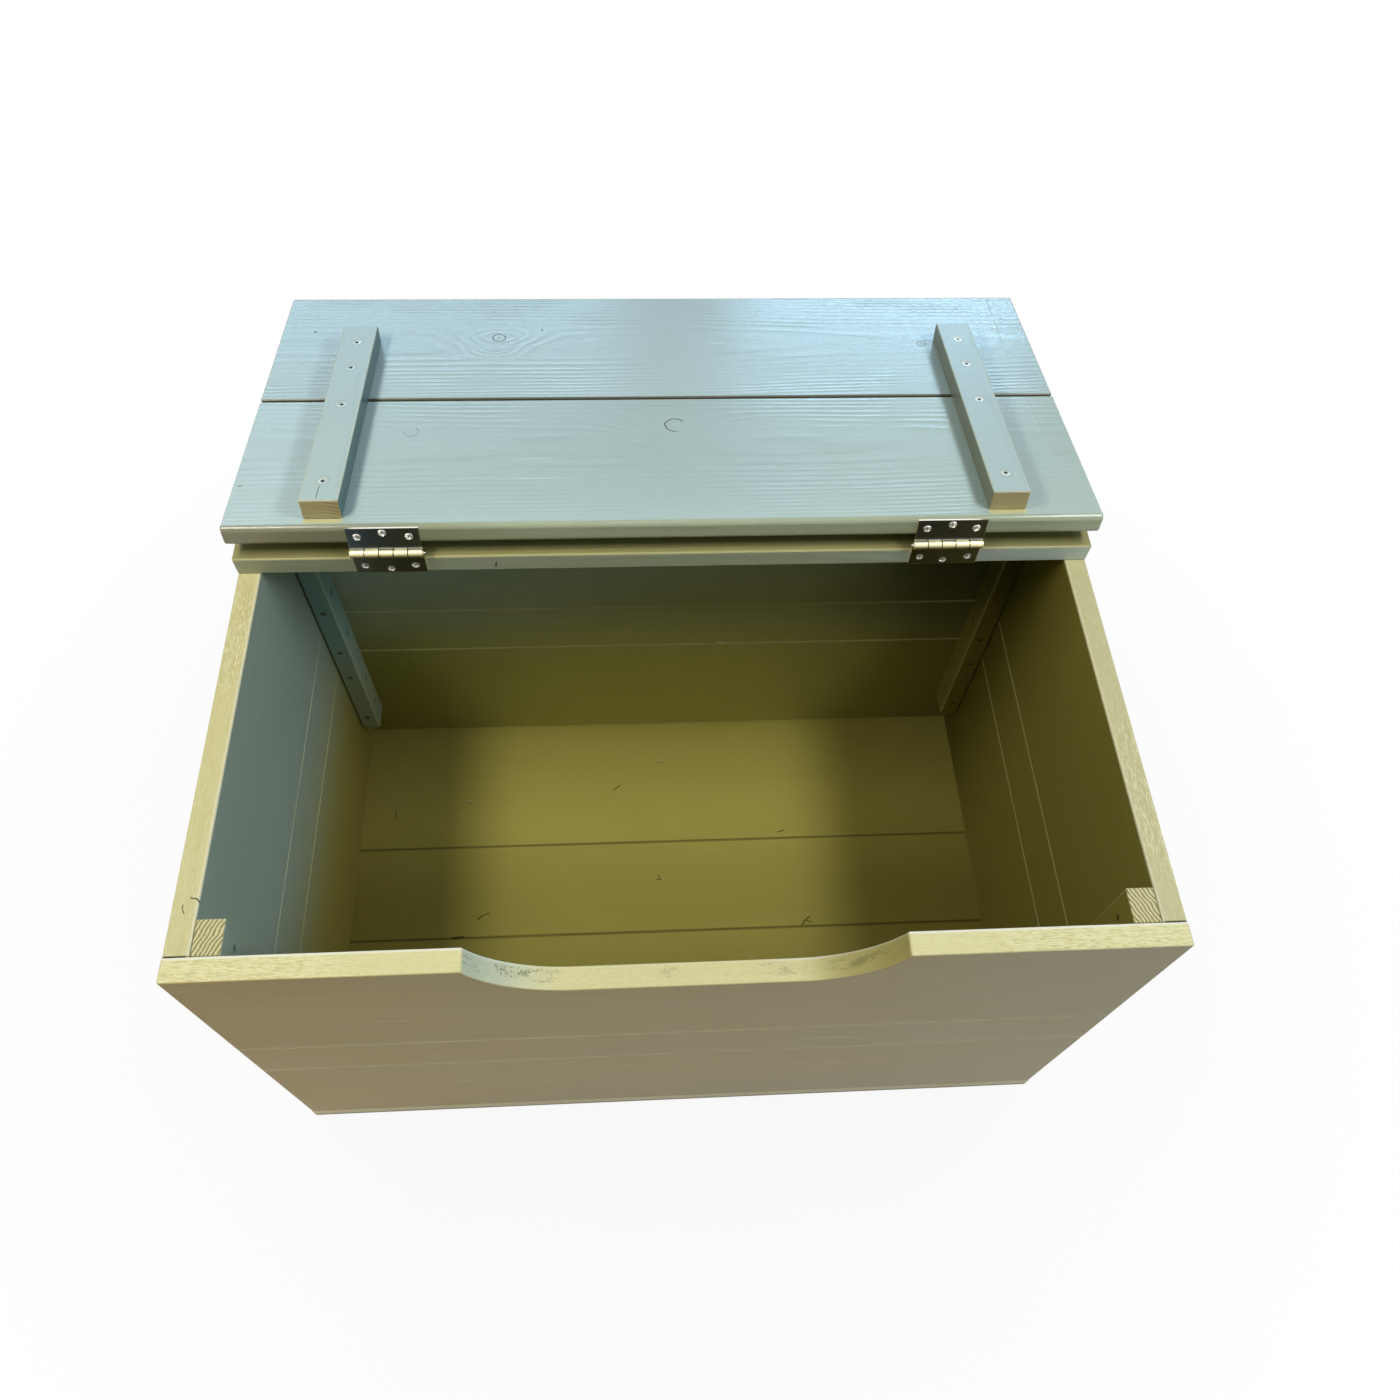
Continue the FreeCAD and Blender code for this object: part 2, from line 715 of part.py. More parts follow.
def check_and_write():
    """Stops on any failed piece, then writes each one to its own file."""
    doc.recompute()
    for thing in doc.Objects:
        if "Invalid" in thing.State or "Error" in thing.State:
            raise RuntimeError(f"{thing.Name}: {thing.State}")
    for name, thing in nodes.items():
        if thing.Shape.isNull() or not thing.Shape.isValid() or not thing.Shape.Solids:
            raise RuntimeError(f"{name}: no sound solid")
    os.makedirs("parts", exist_ok=True)
    for name, thing in nodes.items():
        solids = thing.Shape.Solids
        shape = solids[0] if len(solids) == 1 else Part.makeCompound(solids)
        shape.exportStep(f"parts/{name}.step")


build_walls()
build_floor()
build_posts()
build_rail()
build_lid()
build_hinges()
check_and_write()
pivot = f"y {PIVOT_Y.value:.3f}, z {PIVOT_Z.value:.3f}"
print(f"{len(nodes)} pieces, lid open {OPEN_ANGLE:.3f} degrees about {pivot}")
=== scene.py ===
import json
import math
from functools import reduce

import bmesh
import bpy
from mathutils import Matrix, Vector


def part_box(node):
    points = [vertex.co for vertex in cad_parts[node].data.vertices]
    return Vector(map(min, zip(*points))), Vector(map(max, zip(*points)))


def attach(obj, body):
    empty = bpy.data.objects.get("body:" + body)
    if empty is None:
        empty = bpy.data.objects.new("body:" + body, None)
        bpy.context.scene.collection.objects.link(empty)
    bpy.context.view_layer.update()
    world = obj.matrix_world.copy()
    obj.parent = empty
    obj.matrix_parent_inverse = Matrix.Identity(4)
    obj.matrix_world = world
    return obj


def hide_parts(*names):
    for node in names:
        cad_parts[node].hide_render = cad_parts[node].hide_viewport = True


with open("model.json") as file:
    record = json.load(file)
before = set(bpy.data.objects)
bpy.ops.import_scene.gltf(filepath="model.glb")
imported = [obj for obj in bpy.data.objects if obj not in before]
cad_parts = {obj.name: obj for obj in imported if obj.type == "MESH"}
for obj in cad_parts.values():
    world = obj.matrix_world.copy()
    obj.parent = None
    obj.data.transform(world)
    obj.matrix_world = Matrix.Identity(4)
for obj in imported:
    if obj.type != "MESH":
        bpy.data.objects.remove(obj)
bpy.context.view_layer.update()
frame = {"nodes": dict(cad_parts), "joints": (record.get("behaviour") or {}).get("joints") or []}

# Painted pine box with its lid thrown back, on a pale floor. Metres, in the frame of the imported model.

MM = 0.001


def shade(red, green, blue):
    """A colour as a paint chart gives it, from 0 to 255, as light."""
    def light(part):
        part = part / 255
        return part / 12.92 if part <= 0.04045 else ((part + 0.055) / 1.055) ** 2.4
    return (light(red), light(green), light(blue), 1.0)


# Node trees written as sums

# Sockets of the Mix node that share their names with others, by number
MIX_SHARE, MIX_BELOW, MIX_ABOVE, MIX_OUT = 0, 6, 7, 2


class Wire:
    """What comes out of a node, with the sums that add Math nodes behind it."""

    def __init__(self, finish, socket):
        self.finish = finish
        self.socket = socket

    def math(self, operation, *others):
        sockets = dict(enumerate((self, *others)))
        return self.finish.node("ShaderNodeMath", {"operation": operation}, sockets)

    def __add__(self, other):
        return self.math("ADD", other)

    __radd__ = __add__

    def __sub__(self, other):
        return self.math("SUBTRACT", other)

    def __rsub__(self, other):
        return -self + other

    def __mul__(self, other):
        return self.math("MULTIPLY", other)

    __rmul__ = __mul__

    def __truediv__(self, other):
        return self.math("DIVIDE", other)

    def __neg__(self):
        return self.math("MULTIPLY", -1.0)

    def __abs__(self):
        return self.math("ABSOLUTE")

    def __pow__(self, other):
        return self.math("POWER", other)

    def least(self, other):
        return self.math("MINIMUM", other)

    def most(self, other):
        return self.math("MAXIMUM", other)

    def step(self, low, high):
        """Rises smoothly from 0 at low to 1 at high, or falls where low is the larger."""
        ends = {"Value": self, "From Min": low, "From Max": high}
        return self.finish.node("ShaderNodeMapRange", {"interpolation_type": "SMOOTHSTEP"}, ends)

    def fade(self, low, high):
        """A step between two distances in millimetres."""
        return self.step(low * MM, high * MM)

    def dot(self, axis):
        sockets = {0: self, 1: tuple(axis)}
        return self.finish.node("ShaderNodeVectorMath", {"operation": "DOT_PRODUCT"}, sockets, "Value")


class Finish:
    """The nodes of a material or of the world."""

    def __init__(self, owner):
        self.owner = owner
        owner.use_nodes = True
        self.tree = owner.node_tree
        self.tree.nodes.clear()

    def node(self, kind, settings=None, sockets=None, output=0):
        made = self.tree.nodes.new(kind)
        for name, value in (settings or {}).items():
            setattr(made, name, value)
        for key, value in (sockets or {}).items():
            if isinstance(value, Wire):
                self.tree.links.new(value.socket, made.inputs[key])
            else:
                made.inputs[key].default_value = value
        return Wire(self, made.outputs[output]) if made.outputs else None

    def place(self):
        """Where a point lies on the piece at rest, in metres."""
        return self.node("ShaderNodeTexCoord", output="Object")

    def blend(self, share, below, above):
        """One colour laid over another."""
        sockets = {MIX_SHARE: share, MIX_BELOW: below, MIX_ABOVE: above}
        return self.node("ShaderNodeMix", {"data_type": "RGBA"}, sockets, MIX_OUT)

    def point(self, u, v, w):
        return self.node("ShaderNodeCombineXYZ", None, {0: u, 1: v, 2: w})

    def speckle(self, place, scale=1.0, detail=2.0):
        """Noise about zero, from about -0.5 to 0.5."""
        sockets = {"Vector": place, "Scale": scale, "Detail": detail}
        return self.node("ShaderNodeTexNoise", {"noise_dimensions": "3D"}, sockets) - 0.5

    def eye_rays(self):
        """1 for what the camera sees itself, in a mirror or through glass."""
        rays = self.node("ShaderNodeLightPath").socket.node.outputs
        camera, glossy, through = (
            Wire(self, rays[name]) for name in ("Is Camera Ray", "Is Glossy Ray", "Is Transmission Ray")
        )
        return camera.most(glossy).most(through)

    def show(self, shader, output="ShaderNodeOutputMaterial"):
        self.node(output, None, {"Surface": shader})
        return self.owner

    def surface(self, height, **sockets):
        """The closing shader. A height in metres becomes relief."""
        values = {name.replace("_", " "): value for name, value in sockets.items()}
        values["Normal"] = self.node("ShaderNodeBump", None, {"Height": height, "Distance": 1.0})
        return self.show(self.node("ShaderNodeBsdfPrincipled", None, values))


def new_finish(name):
    return Finish(bpy.data.materials.new(name))


def span(a, b):
    """How far off a place lies, from how far it lies along two square directions."""
    return (a ** 2 + b ** 2) ** 0.5


def strongest(marks):
    """The strongest of several marks at every place."""
    return reduce(Wire.most, marks)


# Where the pieces lie

ACROSS, DEEP, UP = Vector((1, 0, 0)), Vector((0, 1, 0)), Vector((0, 0, 1))
ORIGIN = Vector((0, 0, 0))
PIVOT = Vector(frame["joints"][0]["pos_m"])
rear_low, rear_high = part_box("lid_rear_board")
front_low, front_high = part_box("lid_front_board")
TILT = math.atan2(rear_high.z - front_high.z, front_low.y - rear_low.y)
LID_ALONG = Vector((0, math.cos(TILT), -math.sin(TILT)))
LID_UP = Vector((0, math.sin(TILT), math.cos(TILT)))
TONGUE = 6 * MM
SCOOP_FLAT = 92.9 * MM
SCOOP_DEEP = 55 * MM
SCOOP_RADIUS = 88 * MM
SAME_PLACE = 0.001 * MM
FACE_DEPTH = 0.05 * MM


def corners(node, axes):
    """Lowest and highest places of a piece along given axes."""
    spots = [[vertex.co.dot(axis) for axis in axes] for vertex in frame["nodes"][node].data.vertices]
    return [min(column) for column in zip(*spots)], [max(column) for column in zip(*spots)]


def head_middles(node, outward):
    """Middle of each screw's head face, and the head's radius."""
    shape = bmesh.new()
    shape.from_mesh(frame["nodes"][node].data)
    bmesh.ops.remove_doubles(shape, verts=shape.verts, dist=SAME_PLACE)
    waiting = set(shape.verts)
    heads = []
    while waiting:
        group = [waiting.pop()]
        for vertex in group:
            for edge in vertex.link_edges:
                other = edge.other_vert(vertex)
                if other in waiting:
                    waiting.remove(other)
                    group.append(other)
        top = max(vertex.co.dot(outward) for vertex in group)
        face = [vertex.co for vertex in group if vertex.co.dot(outward) > top - FACE_DEPTH]
        middle = sum(face, Vector()) / len(face)
        heads.append((middle, max((place - middle).length for place in face)))
    shape.free()
    return sorted(heads, key=lambda head: tuple(head[0]))


def nearest_head(finish):
    """How far a place lies from the middle of the nearest screw in the battens."""
    place = finish.place()
    x, along = place.dot(ACROSS), place.dot(LID_ALONG)
    heads = head_middles("batten_screws", LID_UP)
    return reduce(Wire.least, [span(x - middle.x, along - middle.dot(LID_ALONG)) for middle, _ in heads])


class Board:
    """A piece of wood: grain along the first axis, width along the second, thickness along the third."""

    def __init__(self, node, kind, axes, datum=ORIGIN, tongue=0.0):
        self.node = node
        self.kind = kind
        self.axes = axes
        low, high = corners(node, axes)
        high[1] -= tongue
        self.middle = [(a + b) / 2 for a, b in zip(low, high)]
        self.half = [(b - a) / 2 for a, b in zip(low, high)]
        self.start = [datum.dot(axis) - middle for axis, middle in zip(axes, self.middle)]

    def spot(self, finish):
        """Places along, across and through the board, from its middle."""
        place = finish.place()
        return [place.dot(axis) - start for axis, start in zip(self.axes, self.middle)]

    def mark(self, along, other, axis=1):
        """A place given in millimetres, from the board's middle in metres."""
        return along * MM + self.start[0], other * MM + self.start[axis]

    def upper_edge(self, u):
        """How far the upper edge lies from the board's middle, hand scoop and all."""
        if self.node != "front_top_board":
            return self.half[1]
        past_flat = (abs(u) - SCOOP_FLAT).most(0.0).least(SCOOP_RADIUS)
        rise = SCOOP_RADIUS - (SCOOP_RADIUS ** 2 - past_flat ** 2) ** 0.5
        return (rise + (self.half[1] - SCOOP_DEEP)).least(self.half[1])


BOARDS = []
for wall, along in (("front", ACROSS), ("back", ACROSS), ("left", DEEP), ("right", DEEP)):
    through = DEEP if along is ACROSS else ACROSS
    for level, tongue in (("bottom", TONGUE), ("middle", TONGUE), ("top", 0.0)):
        BOARDS.append(Board(f"{wall}_{level}_board", wall, (along, UP, through), tongue=tongue))
for part, tongue in (("front", TONGUE), ("middle", TONGUE), ("back", 0.0)):
    BOARDS.append(Board(f"floor_{part}_board", "floor", (ACROSS, DEEP, UP), tongue=tongue))
for corner in ("front_left", "front_right", "rear_left", "rear_right"):
    BOARDS.append(Board(f"{corner}_post", "post", (UP, ACROSS, DEEP)))
BOARDS.append(Board("rear_rail", "rail", (ACROSS, DEEP, UP)))
for part in ("rear", "front"):
    BOARDS.append(Board(f"lid_{part}_board", "lid", (ACROSS, LID_ALONG, LID_UP), PIVOT))
for side in ("left", "right"):
    BOARDS.append(Board(f"{side}_batten", "batten", (LID_ALONG, ACROSS, LID_UP), PIVOT))


# What the years and the workshop left on the wood, in millimetres on the face of each board


class Knot:
    """A branch in the board: rings bend round it, and a crack may follow part of its edge."""

    def __init__(self, along, across, radius, rise, spread, crack=0.0, open_way=None):
        self.along, self.across = along, across
        self.radius = radius * MM
        self.rise = rise * MM
        self.spread = spread * MM
        self.crack = crack
        self.open_way = open_way


KNOTS = {
    "lid_front_board": (
        Knot(-171.9, 301.9, 6.6, 19, 17, 1.0),
        Knot(-176.0, 279.0, 4.0, 15, 11),
        Knot(279.9, 286.4, 4.3, 5, 9, 0.7),
    ),
    "lid_rear_board": (
        Knot(9.0, 147.0, 9.8, 20, 20, 1.0, (0.92, -0.40)),
        Knot(-246.8, 139.8, 6.8, 3, 10, 0.45, (-0.5, 0.86)),
    ),
    "front_middle_board": (Knot(275.6, 251.0, 9.0, 9, 16),),
    "front_bottom_board": (Knot(-202.0, 128.0, 7.0, 9, 16), Knot(-110.0, 160.0, 7.0, 7, 14)),
}

# The pith's place across the board and below it, where the photograph shows how the years lie
PITHS = {"lid_front_board": (0.6, 40.0), "lid_rear_board": (18.0, 46.0), "front_top_board": (-70.0, 60.0)}

CRACKS = {
    "floor_back_board": (
        ((-66.0, 132.0), (-58.2, 138.9), 1.0),
        ((-340.6, 111.0), (-339.7, 99.9), 0.8),
        ((140.4, 66.3), (148.3, 68.8), 1.0),
        ((-10.0, 172.0), (-4.0, 170.0), 0.7),
        ((-250.0, 120.5), (-245.0, 118.0), 0.7),
    ),
    "floor_middle_board": (
        ((-230.7, -35.7), (-226.2, -32.1), 1.3),
        ((-226.2, -32.1), (-218.0, -28.6), 0.8),
        ((158.9, -57.6), (163.3, -51.2), 1.1),
        ((163.3, -51.2), (169.9, -46.3), 1.0),
        ((163.3, -51.2), (171.6, -54.0), 0.8),
        ((-259.1, -58.3), (-247.3, -57.5), 1.8),
        ((-12.6, 13.4), (-10.3, 7.5), 0.8),
        ((-14.8, 7.8), (-10.3, 7.5), 0.8),
    ),
    "lid_front_board": (
        ((-366.8, 314.2), (-365.2, 315.6), 1.4),
        ((-127.0, 316.0), (-126.8, 318.0), 1.3),
    ),
    "lid_rear_board": (((-393.9, 61.3), (-392.1, 61.2), 1.2),),
    "front_top_board": (((-303.0, 286.0), (-297.0, 285.6), 1.0),),
    "left_batten": (((18.0, -313.5), (34.0, -312.5), 0.5),),
}

# Cracks in the rim and in the rail's front: along the board and through its thickness
RIM_CRACKS = {
    "left_top_board": (
        ((-182.1, -386.4), (-183.0, -381.6), 0.8),
        ((-183.0, -381.6), (-187.3, -377.8), 0.9),
        ((-187.6, -391.5), (-190.9, -391.6), 0.5),
        ((-190.9, -391.6), (-195.1, -389.4), 0.5),
    ),
    "rear_rail": (((-163.2, 484.0), (-162.0, 491.0), 1.1),),
}

# Stretches of rim where the saw tore the grain: the middle and half its length
TORN_RIM = {
    "front_top_board": ((-345.0, 110.0), (325.0, 110.0)),
    "left_top_board": ((67.0, 70.0),),
    "right_top_board": ((-120.0, 90.0),),
}

# Pits in the hand scoop: the middle, half the length and how many
SCOOP_PITS = ((-142.0, 48.0, 1.0), (80.0, 24.0, 0.6), (-12.0, 14.0, 0.4), (150.0, 44.0, 0.8))

# Chips knocked out of the paint
CHIPS = {
    "front_top_board": (((-304.0, 287.5), (-297.0, 287.0), 3.0),),
    "front_middle_board": (((-302.0, 282.5), (-296.0, 283.0), 2.6),),
    "back_middle_board": (((65.0, 209.5), (73.0, 208.6), 3.0),),
}

# Painted highlights: pale fibres that catch the light
GLINTS = {
    "front_top_board": (
        ((-260.3, 359.6), (-235.8, 356.0), 6.0),
        ((204.3, 418.6), (215.5, 417.2), 4.0),
        ((273.7, 401.9), (284.4, 400.5), 4.0),
    ),
    "front_middle_board": (
        ((-290.0, 262.0), (-230.0, 240.0), 7.0),
        ((120.0, 246.0), (190.0, 240.0), 8.0),
        ((-303.0, 283.0), (-297.0, 283.4), 3.0),
    ),
    "front_bottom_board": (
        ((-301.9, 128.7), (-279.3, 142.2), 5.0),
        ((-224.2, 136.4), (-180.7, 119.4), 8.0),
        ((-167.5, 117.8), (-127.3, 114.8), 6.0),
        ((-125.8, 182.3), (-87.6, 179.8), 8.0),
        ((-56.3, 167.8), (-22.2, 150.7), 7.0),
        ((90.0, 150.0), (170.0, 140.0), 8.0),
    ),
    "lid_front_board": (
        ((53.2, 288.5), (65.0, 288.4), 2.0),
        ((367.0, 200.0), (370.5, 380.0), 1.6),
    ),
    "lid_rear_board": (
        ((372.0, 96.0), (367.0, 190.0), 1.6),
        ((-200.6, 67.7), (-77.5, 65.4), 1.8),
        ((-145.7, 94.8), (-74.0, 99.6), 1.8),
    ),
    "floor_back_board": (((-10.0, 173.5), (-4.0, 171.5), 2.0), ((-250.0, 122.0), (-245.0, 119.5), 2.0)),
}


def strokes(board, u, other, lines, axis=1, core=0.3):
    """1 along short lines on a face, 0 away from them."""
    def stroke(start, end, wide):
        start, end = board.mark(*start, axis), board.mark(*end, axis)
        run = (end[0] - start[0], end[1] - start[1])
        share = (u - start[0]) * run[0] + (other - start[1]) * run[1]
        share = (share / (run[0] ** 2 + run[1] ** 2)).most(0.0).least(1.0)
        aside = u - (share * run[0] + start[0])
        beyond = other - (share * run[1] + start[1])
        return span(aside, beyond).step(wide * MM, wide * MM * core)
    return strongest([stroke(*line) for line in lines])


# Year rings
YEAR = {"lid": 4.6 * MM, "batten": 4.0 * MM}
USUAL_YEAR = 3.6 * MM
YEAR_SWING = 2.4 * MM
SWING_WAVES = 140
LATE_RISE = (0.24, 0.68)
LATE_FALL = (1.0, 0.76)
TAPER = 0.012
BOW_HIGH = 13 * MM
WANDER_HIGH = 2.6 * MM
PITH_ASIDE = 0.8
PITH_BELOW = 34
PITH_SWING = 10
PITH_TURN = 1.7
SEED_STEP = 3.7

# Waves per metre along and across the board, and how fine they break up
CLOUD = (3, 9, 3.0)
TINT = (2.4, 6, 2.0)
WANDER = (9, 30, 1.0)
PATCH = (11, 34, 1.0)
FIBRE = (45, 1400, 2.0)
STREAK = (26, 430, 2.0)
FLECK = (180, 1250, 1.0)
PORES = (150, 900, 1.0)
BOW = (2.2, 5, 1.0)

# Relief of the planed and painted wood
RELIEF = {"lid": 0.13 * MM, "batten": 0.12 * MM}
USUAL_RELIEF = 0.13 * MM
STREAK_RELIEF = 0.08 * MM
WANDER_RELIEF = 0.10 * MM
PORE_DEEP = 0.05 * MM
TORN_HIGH = 0.14 * MM
GLINT_HIGH = 0.15 * MM
CHIP_DEEP = 0.3 * MM
CRACK_DEEP = 0.35 * MM
PIT_DEEP = 0.5 * MM

# Knots: how long they pull the rings, and how their cracks waver
KNOT_STRETCH = 0.16
WOBBLE_WAVES = 160
WOBBLE_HIGH = 2.2 * MM

# How far below its top a sanded edge fades out, in millimetres
RIM_FADE = (4.0, 2.0)


class Grain:
    """The pattern of one board through its thickness: late wood, fibres, pores and clouds of colour."""

    def __init__(self, finish, board, number):
        u, v, w = self.u, self.v, self.w = board.spot(finish)
        seed = number * SEED_STEP
        usual_pith = (
            board.half[1] / MM * PITH_ASIDE * math.sin(seed),
            PITH_BELOW + PITH_SWING * math.sin(seed * PITH_TURN),
        )
        aside, below = PITHS.get(board.node, usual_pith)

        def noise(along, across, detail):
            """Noise that runs with the board."""
            return finish.speckle(finish.point(u * along + seed, v * across, w * across), detail=detail)

        self.cloud = noise(*CLOUD)
        self.tint = noise(*TINT)
        self.wander = noise(*WANDER)
        self.patch = noise(*PATCH).step(-0.14, 0.2)
        self.fibre = noise(*FIBRE)
        self.streak = noise(*STREAK)
        self.fleck = noise(*FLECK)
        self.pores = noise(*PORES).step(0.08, 0.2)
        from_pith = span(v - aside * MM, w + board.half[2] + below * MM)
        age = from_pith + u * TAPER + noise(*BOW) * BOW_HIGH + self.wander * WANDER_HIGH
        knots = KNOTS.get(board.node, ())
        for knot in knots:
            age = age + self.bend(board, knot)
        self.cracks = [self.knot_crack(finish, board, knot) for knot in knots if knot.crack]
        # good and bad years
        swing = finish.speckle(finish.point(age * SWING_WAVES, seed, 0.5), detail=1.0)
        ring = ((age + swing * YEAR_SWING) / YEAR.get(board.kind, USUAL_YEAR)).math("FRACT")
        self.late = ring.step(*LATE_RISE) * ring.step(*LATE_FALL) * (self.patch * 0.85 + 0.15)
        relief = self.late * RELIEF.get(board.kind, USUAL_RELIEF)
        relief = relief + self.streak * STREAK_RELIEF + self.wander * WANDER_RELIEF
        self.height = relief - self.pores * PORE_DEEP
        # how far a place lies from the board's ends, edges and faces
        self.below_top = board.upper_edge(u) - v
        self.rim = self.below_top.fade(*RIM_FADE)
        self.to_end = board.half[0] - abs(u)
        self.to_edge = self.below_top.least(v + board.half[1])
        self.half_thick = board.half[2]
        self.to_face = self.half_thick - abs(w)

    def on_face(self, low, high, way=1.0):
        """1 on one face of the board, fading between two depths below it in millimetres."""
        return (self.w * way).step(self.half_thick - low * MM, self.half_thick - high * MM)

    def from_knot(self, board, knot):
        along, across = board.mark(knot.along, knot.across)
        return self.u - along, self.v - across

    def bend(self, board, knot):
        """How far a knot pushes the year rings aside."""
        du, dv = self.from_knot(board, knot)
        away = (du ** 2 * KNOT_STRETCH + dv ** 2) / knot.spread ** 2
        return (-away).math("EXPONENT") * knot.rise

    def knot_crack(self, finish, board, knot):
        """The crack round a knot: open on one side, or closed with a dark eye."""
        du, dv = self.from_knot(board, knot)
        waves = finish.point(self.u * WOBBLE_WAVES, self.v * WOBBLE_WAVES, 0.0)
        reach = span(du, dv) + finish.speckle(waves, detail=1.0) * WOBBLE_HIGH
        crack = abs(reach - knot.radius).fade(0.9, 0.35) * knot.crack
        if not knot.open_way:
            return crack.most(reach.fade(1.3, 0.6) * 0.6)
        facing = (du * knot.open_way[0] + dv * knot.open_way[1]) / (reach + 0.01 * MM)
        return crack * facing.step(0.75, 0.35)


# Paint

SAGE_WARM_LIT = shade(190, 169, 107)
SAGE_WARM_LIT_DARK = shade(174, 154, 94)
SAGE_GREY_AND_COOL_LIT = shade(188, 182, 148)
SAGE_PLAIN = shade(178, 177, 142)
SAGE_PLAIN_DARK = shade(164, 162, 128)
OLIVE_INSIDE_SHADE = shade(158, 149, 80)
OLIVE_INSIDE_SHADE_DARK = shade(140, 131, 64)
OLIVE_SHADE = shade(136, 128, 62)
OLIVE_SHADE_DARK = shade(122, 114, 52)
OLIVE_CORNER_SHADE = shade(96, 90, 36)
BACK_TOP_COOL_SHADE = shade(184, 198, 186)
BACK_TOP_COOL_SHADE_DARK = shade(168, 182, 170)
BACK_COOL_LIGHT = shade(186, 208, 216)
POST_FOOT_SHADE = shade(160, 166, 140)
OLIVE_FLOOR_SHADE = shade(158, 149, 77)
OLIVE_FLOOR_SHADE_DARK = shade(144, 134, 63)
OLIVE_BACK_SHADE = shade(186, 184, 106)
OLIVE_BACK_SHADE_DARK = shade(172, 168, 94)
COOL_LIT = shade(148, 164, 152)
COOL_LIT_DARK = shade(132, 148, 136)
COOL_LIT_POST = shade(140, 174, 172)
COOL_LIT_POST_DARK = shade(126, 158, 156)
CREAM = shade(208, 202, 152)
CREAM_DARK = shade(190, 181, 128)
CREAM_PALE = shade(236, 232, 194)
CREAM_FRONT_LIT = shade(226, 220, 166)
CREAM_FRONT_LIT_DARK = shade(210, 203, 148)
CREAM_SHADE = shade(182, 172, 116)
CREAM_RIGHT_SHADED = shade(198, 194, 150)
CREAM_RIGHT_SHADED_DARK = shade(182, 176, 128)
RIM_LIGHT_TONES = {"front": (CREAM_FRONT_LIT, CREAM_FRONT_LIT_DARK), "right": (CREAM_RIGHT_SHADED, CREAM_RIGHT_SHADED_DARK)}
END_BROWN = shade(122, 108, 66)
MIST_SKY_SHEEN = shade(172, 191, 186)
MIST_SKY_SHEEN_DARK = shade(158, 177, 172)
MIST_SHEEN_PALE = shade(180, 201, 200)
MIST_LESS_SHEEN = shade(169, 186, 176)
SIDE_SHADE_COOL = shade(66, 95, 93)
SIDE_SHADE_WARM = shade(112, 114, 90)
EDGE = shade(160, 170, 142)
EDGE_DARK = shade(146, 156, 128)
EDGE_LEFT_SHADE = shade(126, 124, 97)
RAIL = shade(174, 184, 158)
RAIL_DARK = shade(160, 170, 144)
RAIL_COOL_LIT = shade(188, 204, 196)
RAIL_TOP_SHADE = shade(150, 146, 96)
RAIL_LEFT_SHADE = shade(158, 164, 137)
LID_SEAM_SHADE = shade(74, 64, 42)
BATTEN_END = shade(178, 168, 124)
BATTEN_END_DARK = shade(132, 118, 76)
BATTEN_END_REFLECTION = shade(206, 198, 128)
PIT = shade(104, 104, 82)
GAP = shade(34, 31, 18)
CHALK = shade(236, 234, 218)

# How much the year rings show in the paint, and torn grain on the rim
USUAL_RINGS = 0.25
INSIDE_RINGS = 0.15
LID_RINGS = 0.3
TORN_LEAST = 0.3
FLECK_SHARE = 0.55


def two_tone(finish, grain, light, dark, ring_share=USUAL_RINGS):
    """Two tones of one paint, mixed in clouds and along the late wood."""
    return finish.blend(grain.late * ring_share + grain.cloud * 0.45 + 0.25, light, dark)


def stretch(u, middle, reach):
    """1 along a stretch of an edge, fading out at its ends."""
    return abs(u - middle * MM).step(reach * MM, reach * MM * 0.4)


def torn_stretch(board, grain):
    """1 on the stretches of rim with torn grain, less elsewhere."""
    torn = [stretch(grain.u, *place) for place in TORN_RIM.get(board.node, ())]
    return strongest(torn) * (1 - TORN_LEAST) + TORN_LEAST if torn else TORN_LEAST


def rim_cream(finish, board, grain):
    """Sanded edges: pale, from worn paint and from painted light on the rim tops, lighter on the front rim
    and duller on the right one as painted light, with flecks where the grain was torn.
    """
    torn = torn_stretch(board, grain) * FLECK_SHARE
    # Painted light: lighter on the front rim, duller on the right one
    cream = two_tone(finish, grain, *RIM_LIGHT_TONES.get(board.kind, (CREAM, CREAM_DARK)))
    cream = finish.blend(grain.fleck.step(0.02, 0.18) * torn, cream, CREAM_PALE)
    return finish.blend(grain.fleck.step(-0.04, -0.18) * torn, cream, CREAM_SHADE)


# Painted light on the front: how fast the warm-lit sage greys to the right, and how much clouds of tint add
# to that
COOLER_LIGHT_TO_RIGHT = 1.1
GREY_IN_CLOUDS = 1.2


def outside_paint(finish, board, grain):
    """Plain sage, and on the front a warmer one that greys to the right, as painted warm light from the
    left and cooler light to the right. Pale streaks of grain show in it as painted sheen.
    """
    plain = two_tone(finish, grain, SAGE_PLAIN, SAGE_PLAIN_DARK)
    painted = finish.blend(grain.tint + 0.3, plain, SAGE_GREY_AND_COOL_LIT)
    # Painted light: the front face is warm-lit on the left and greys to the right, where cooler light
    # falls; its ends stay plain
    if board.node.startswith("front") or board.node == "floor_front_board":
        grey = finish.place().dot(ACROSS) * COOLER_LIGHT_TO_RIGHT + grain.tint * GREY_IN_CLOUDS + 0.5
        warm = finish.blend(grey, two_tone(finish, grain, SAGE_WARM_LIT, SAGE_WARM_LIT_DARK), SAGE_GREY_AND_COOL_LIT)
        painted = finish.blend(grain.to_end.fade(0.2, 0.8), painted, warm)
    # Painted sheen: pale streaks of grain in patches, as if catching the light
    return finish.blend(grain.streak.step(0.06, 0.24) * grain.patch * 0.14, painted, CHALK)


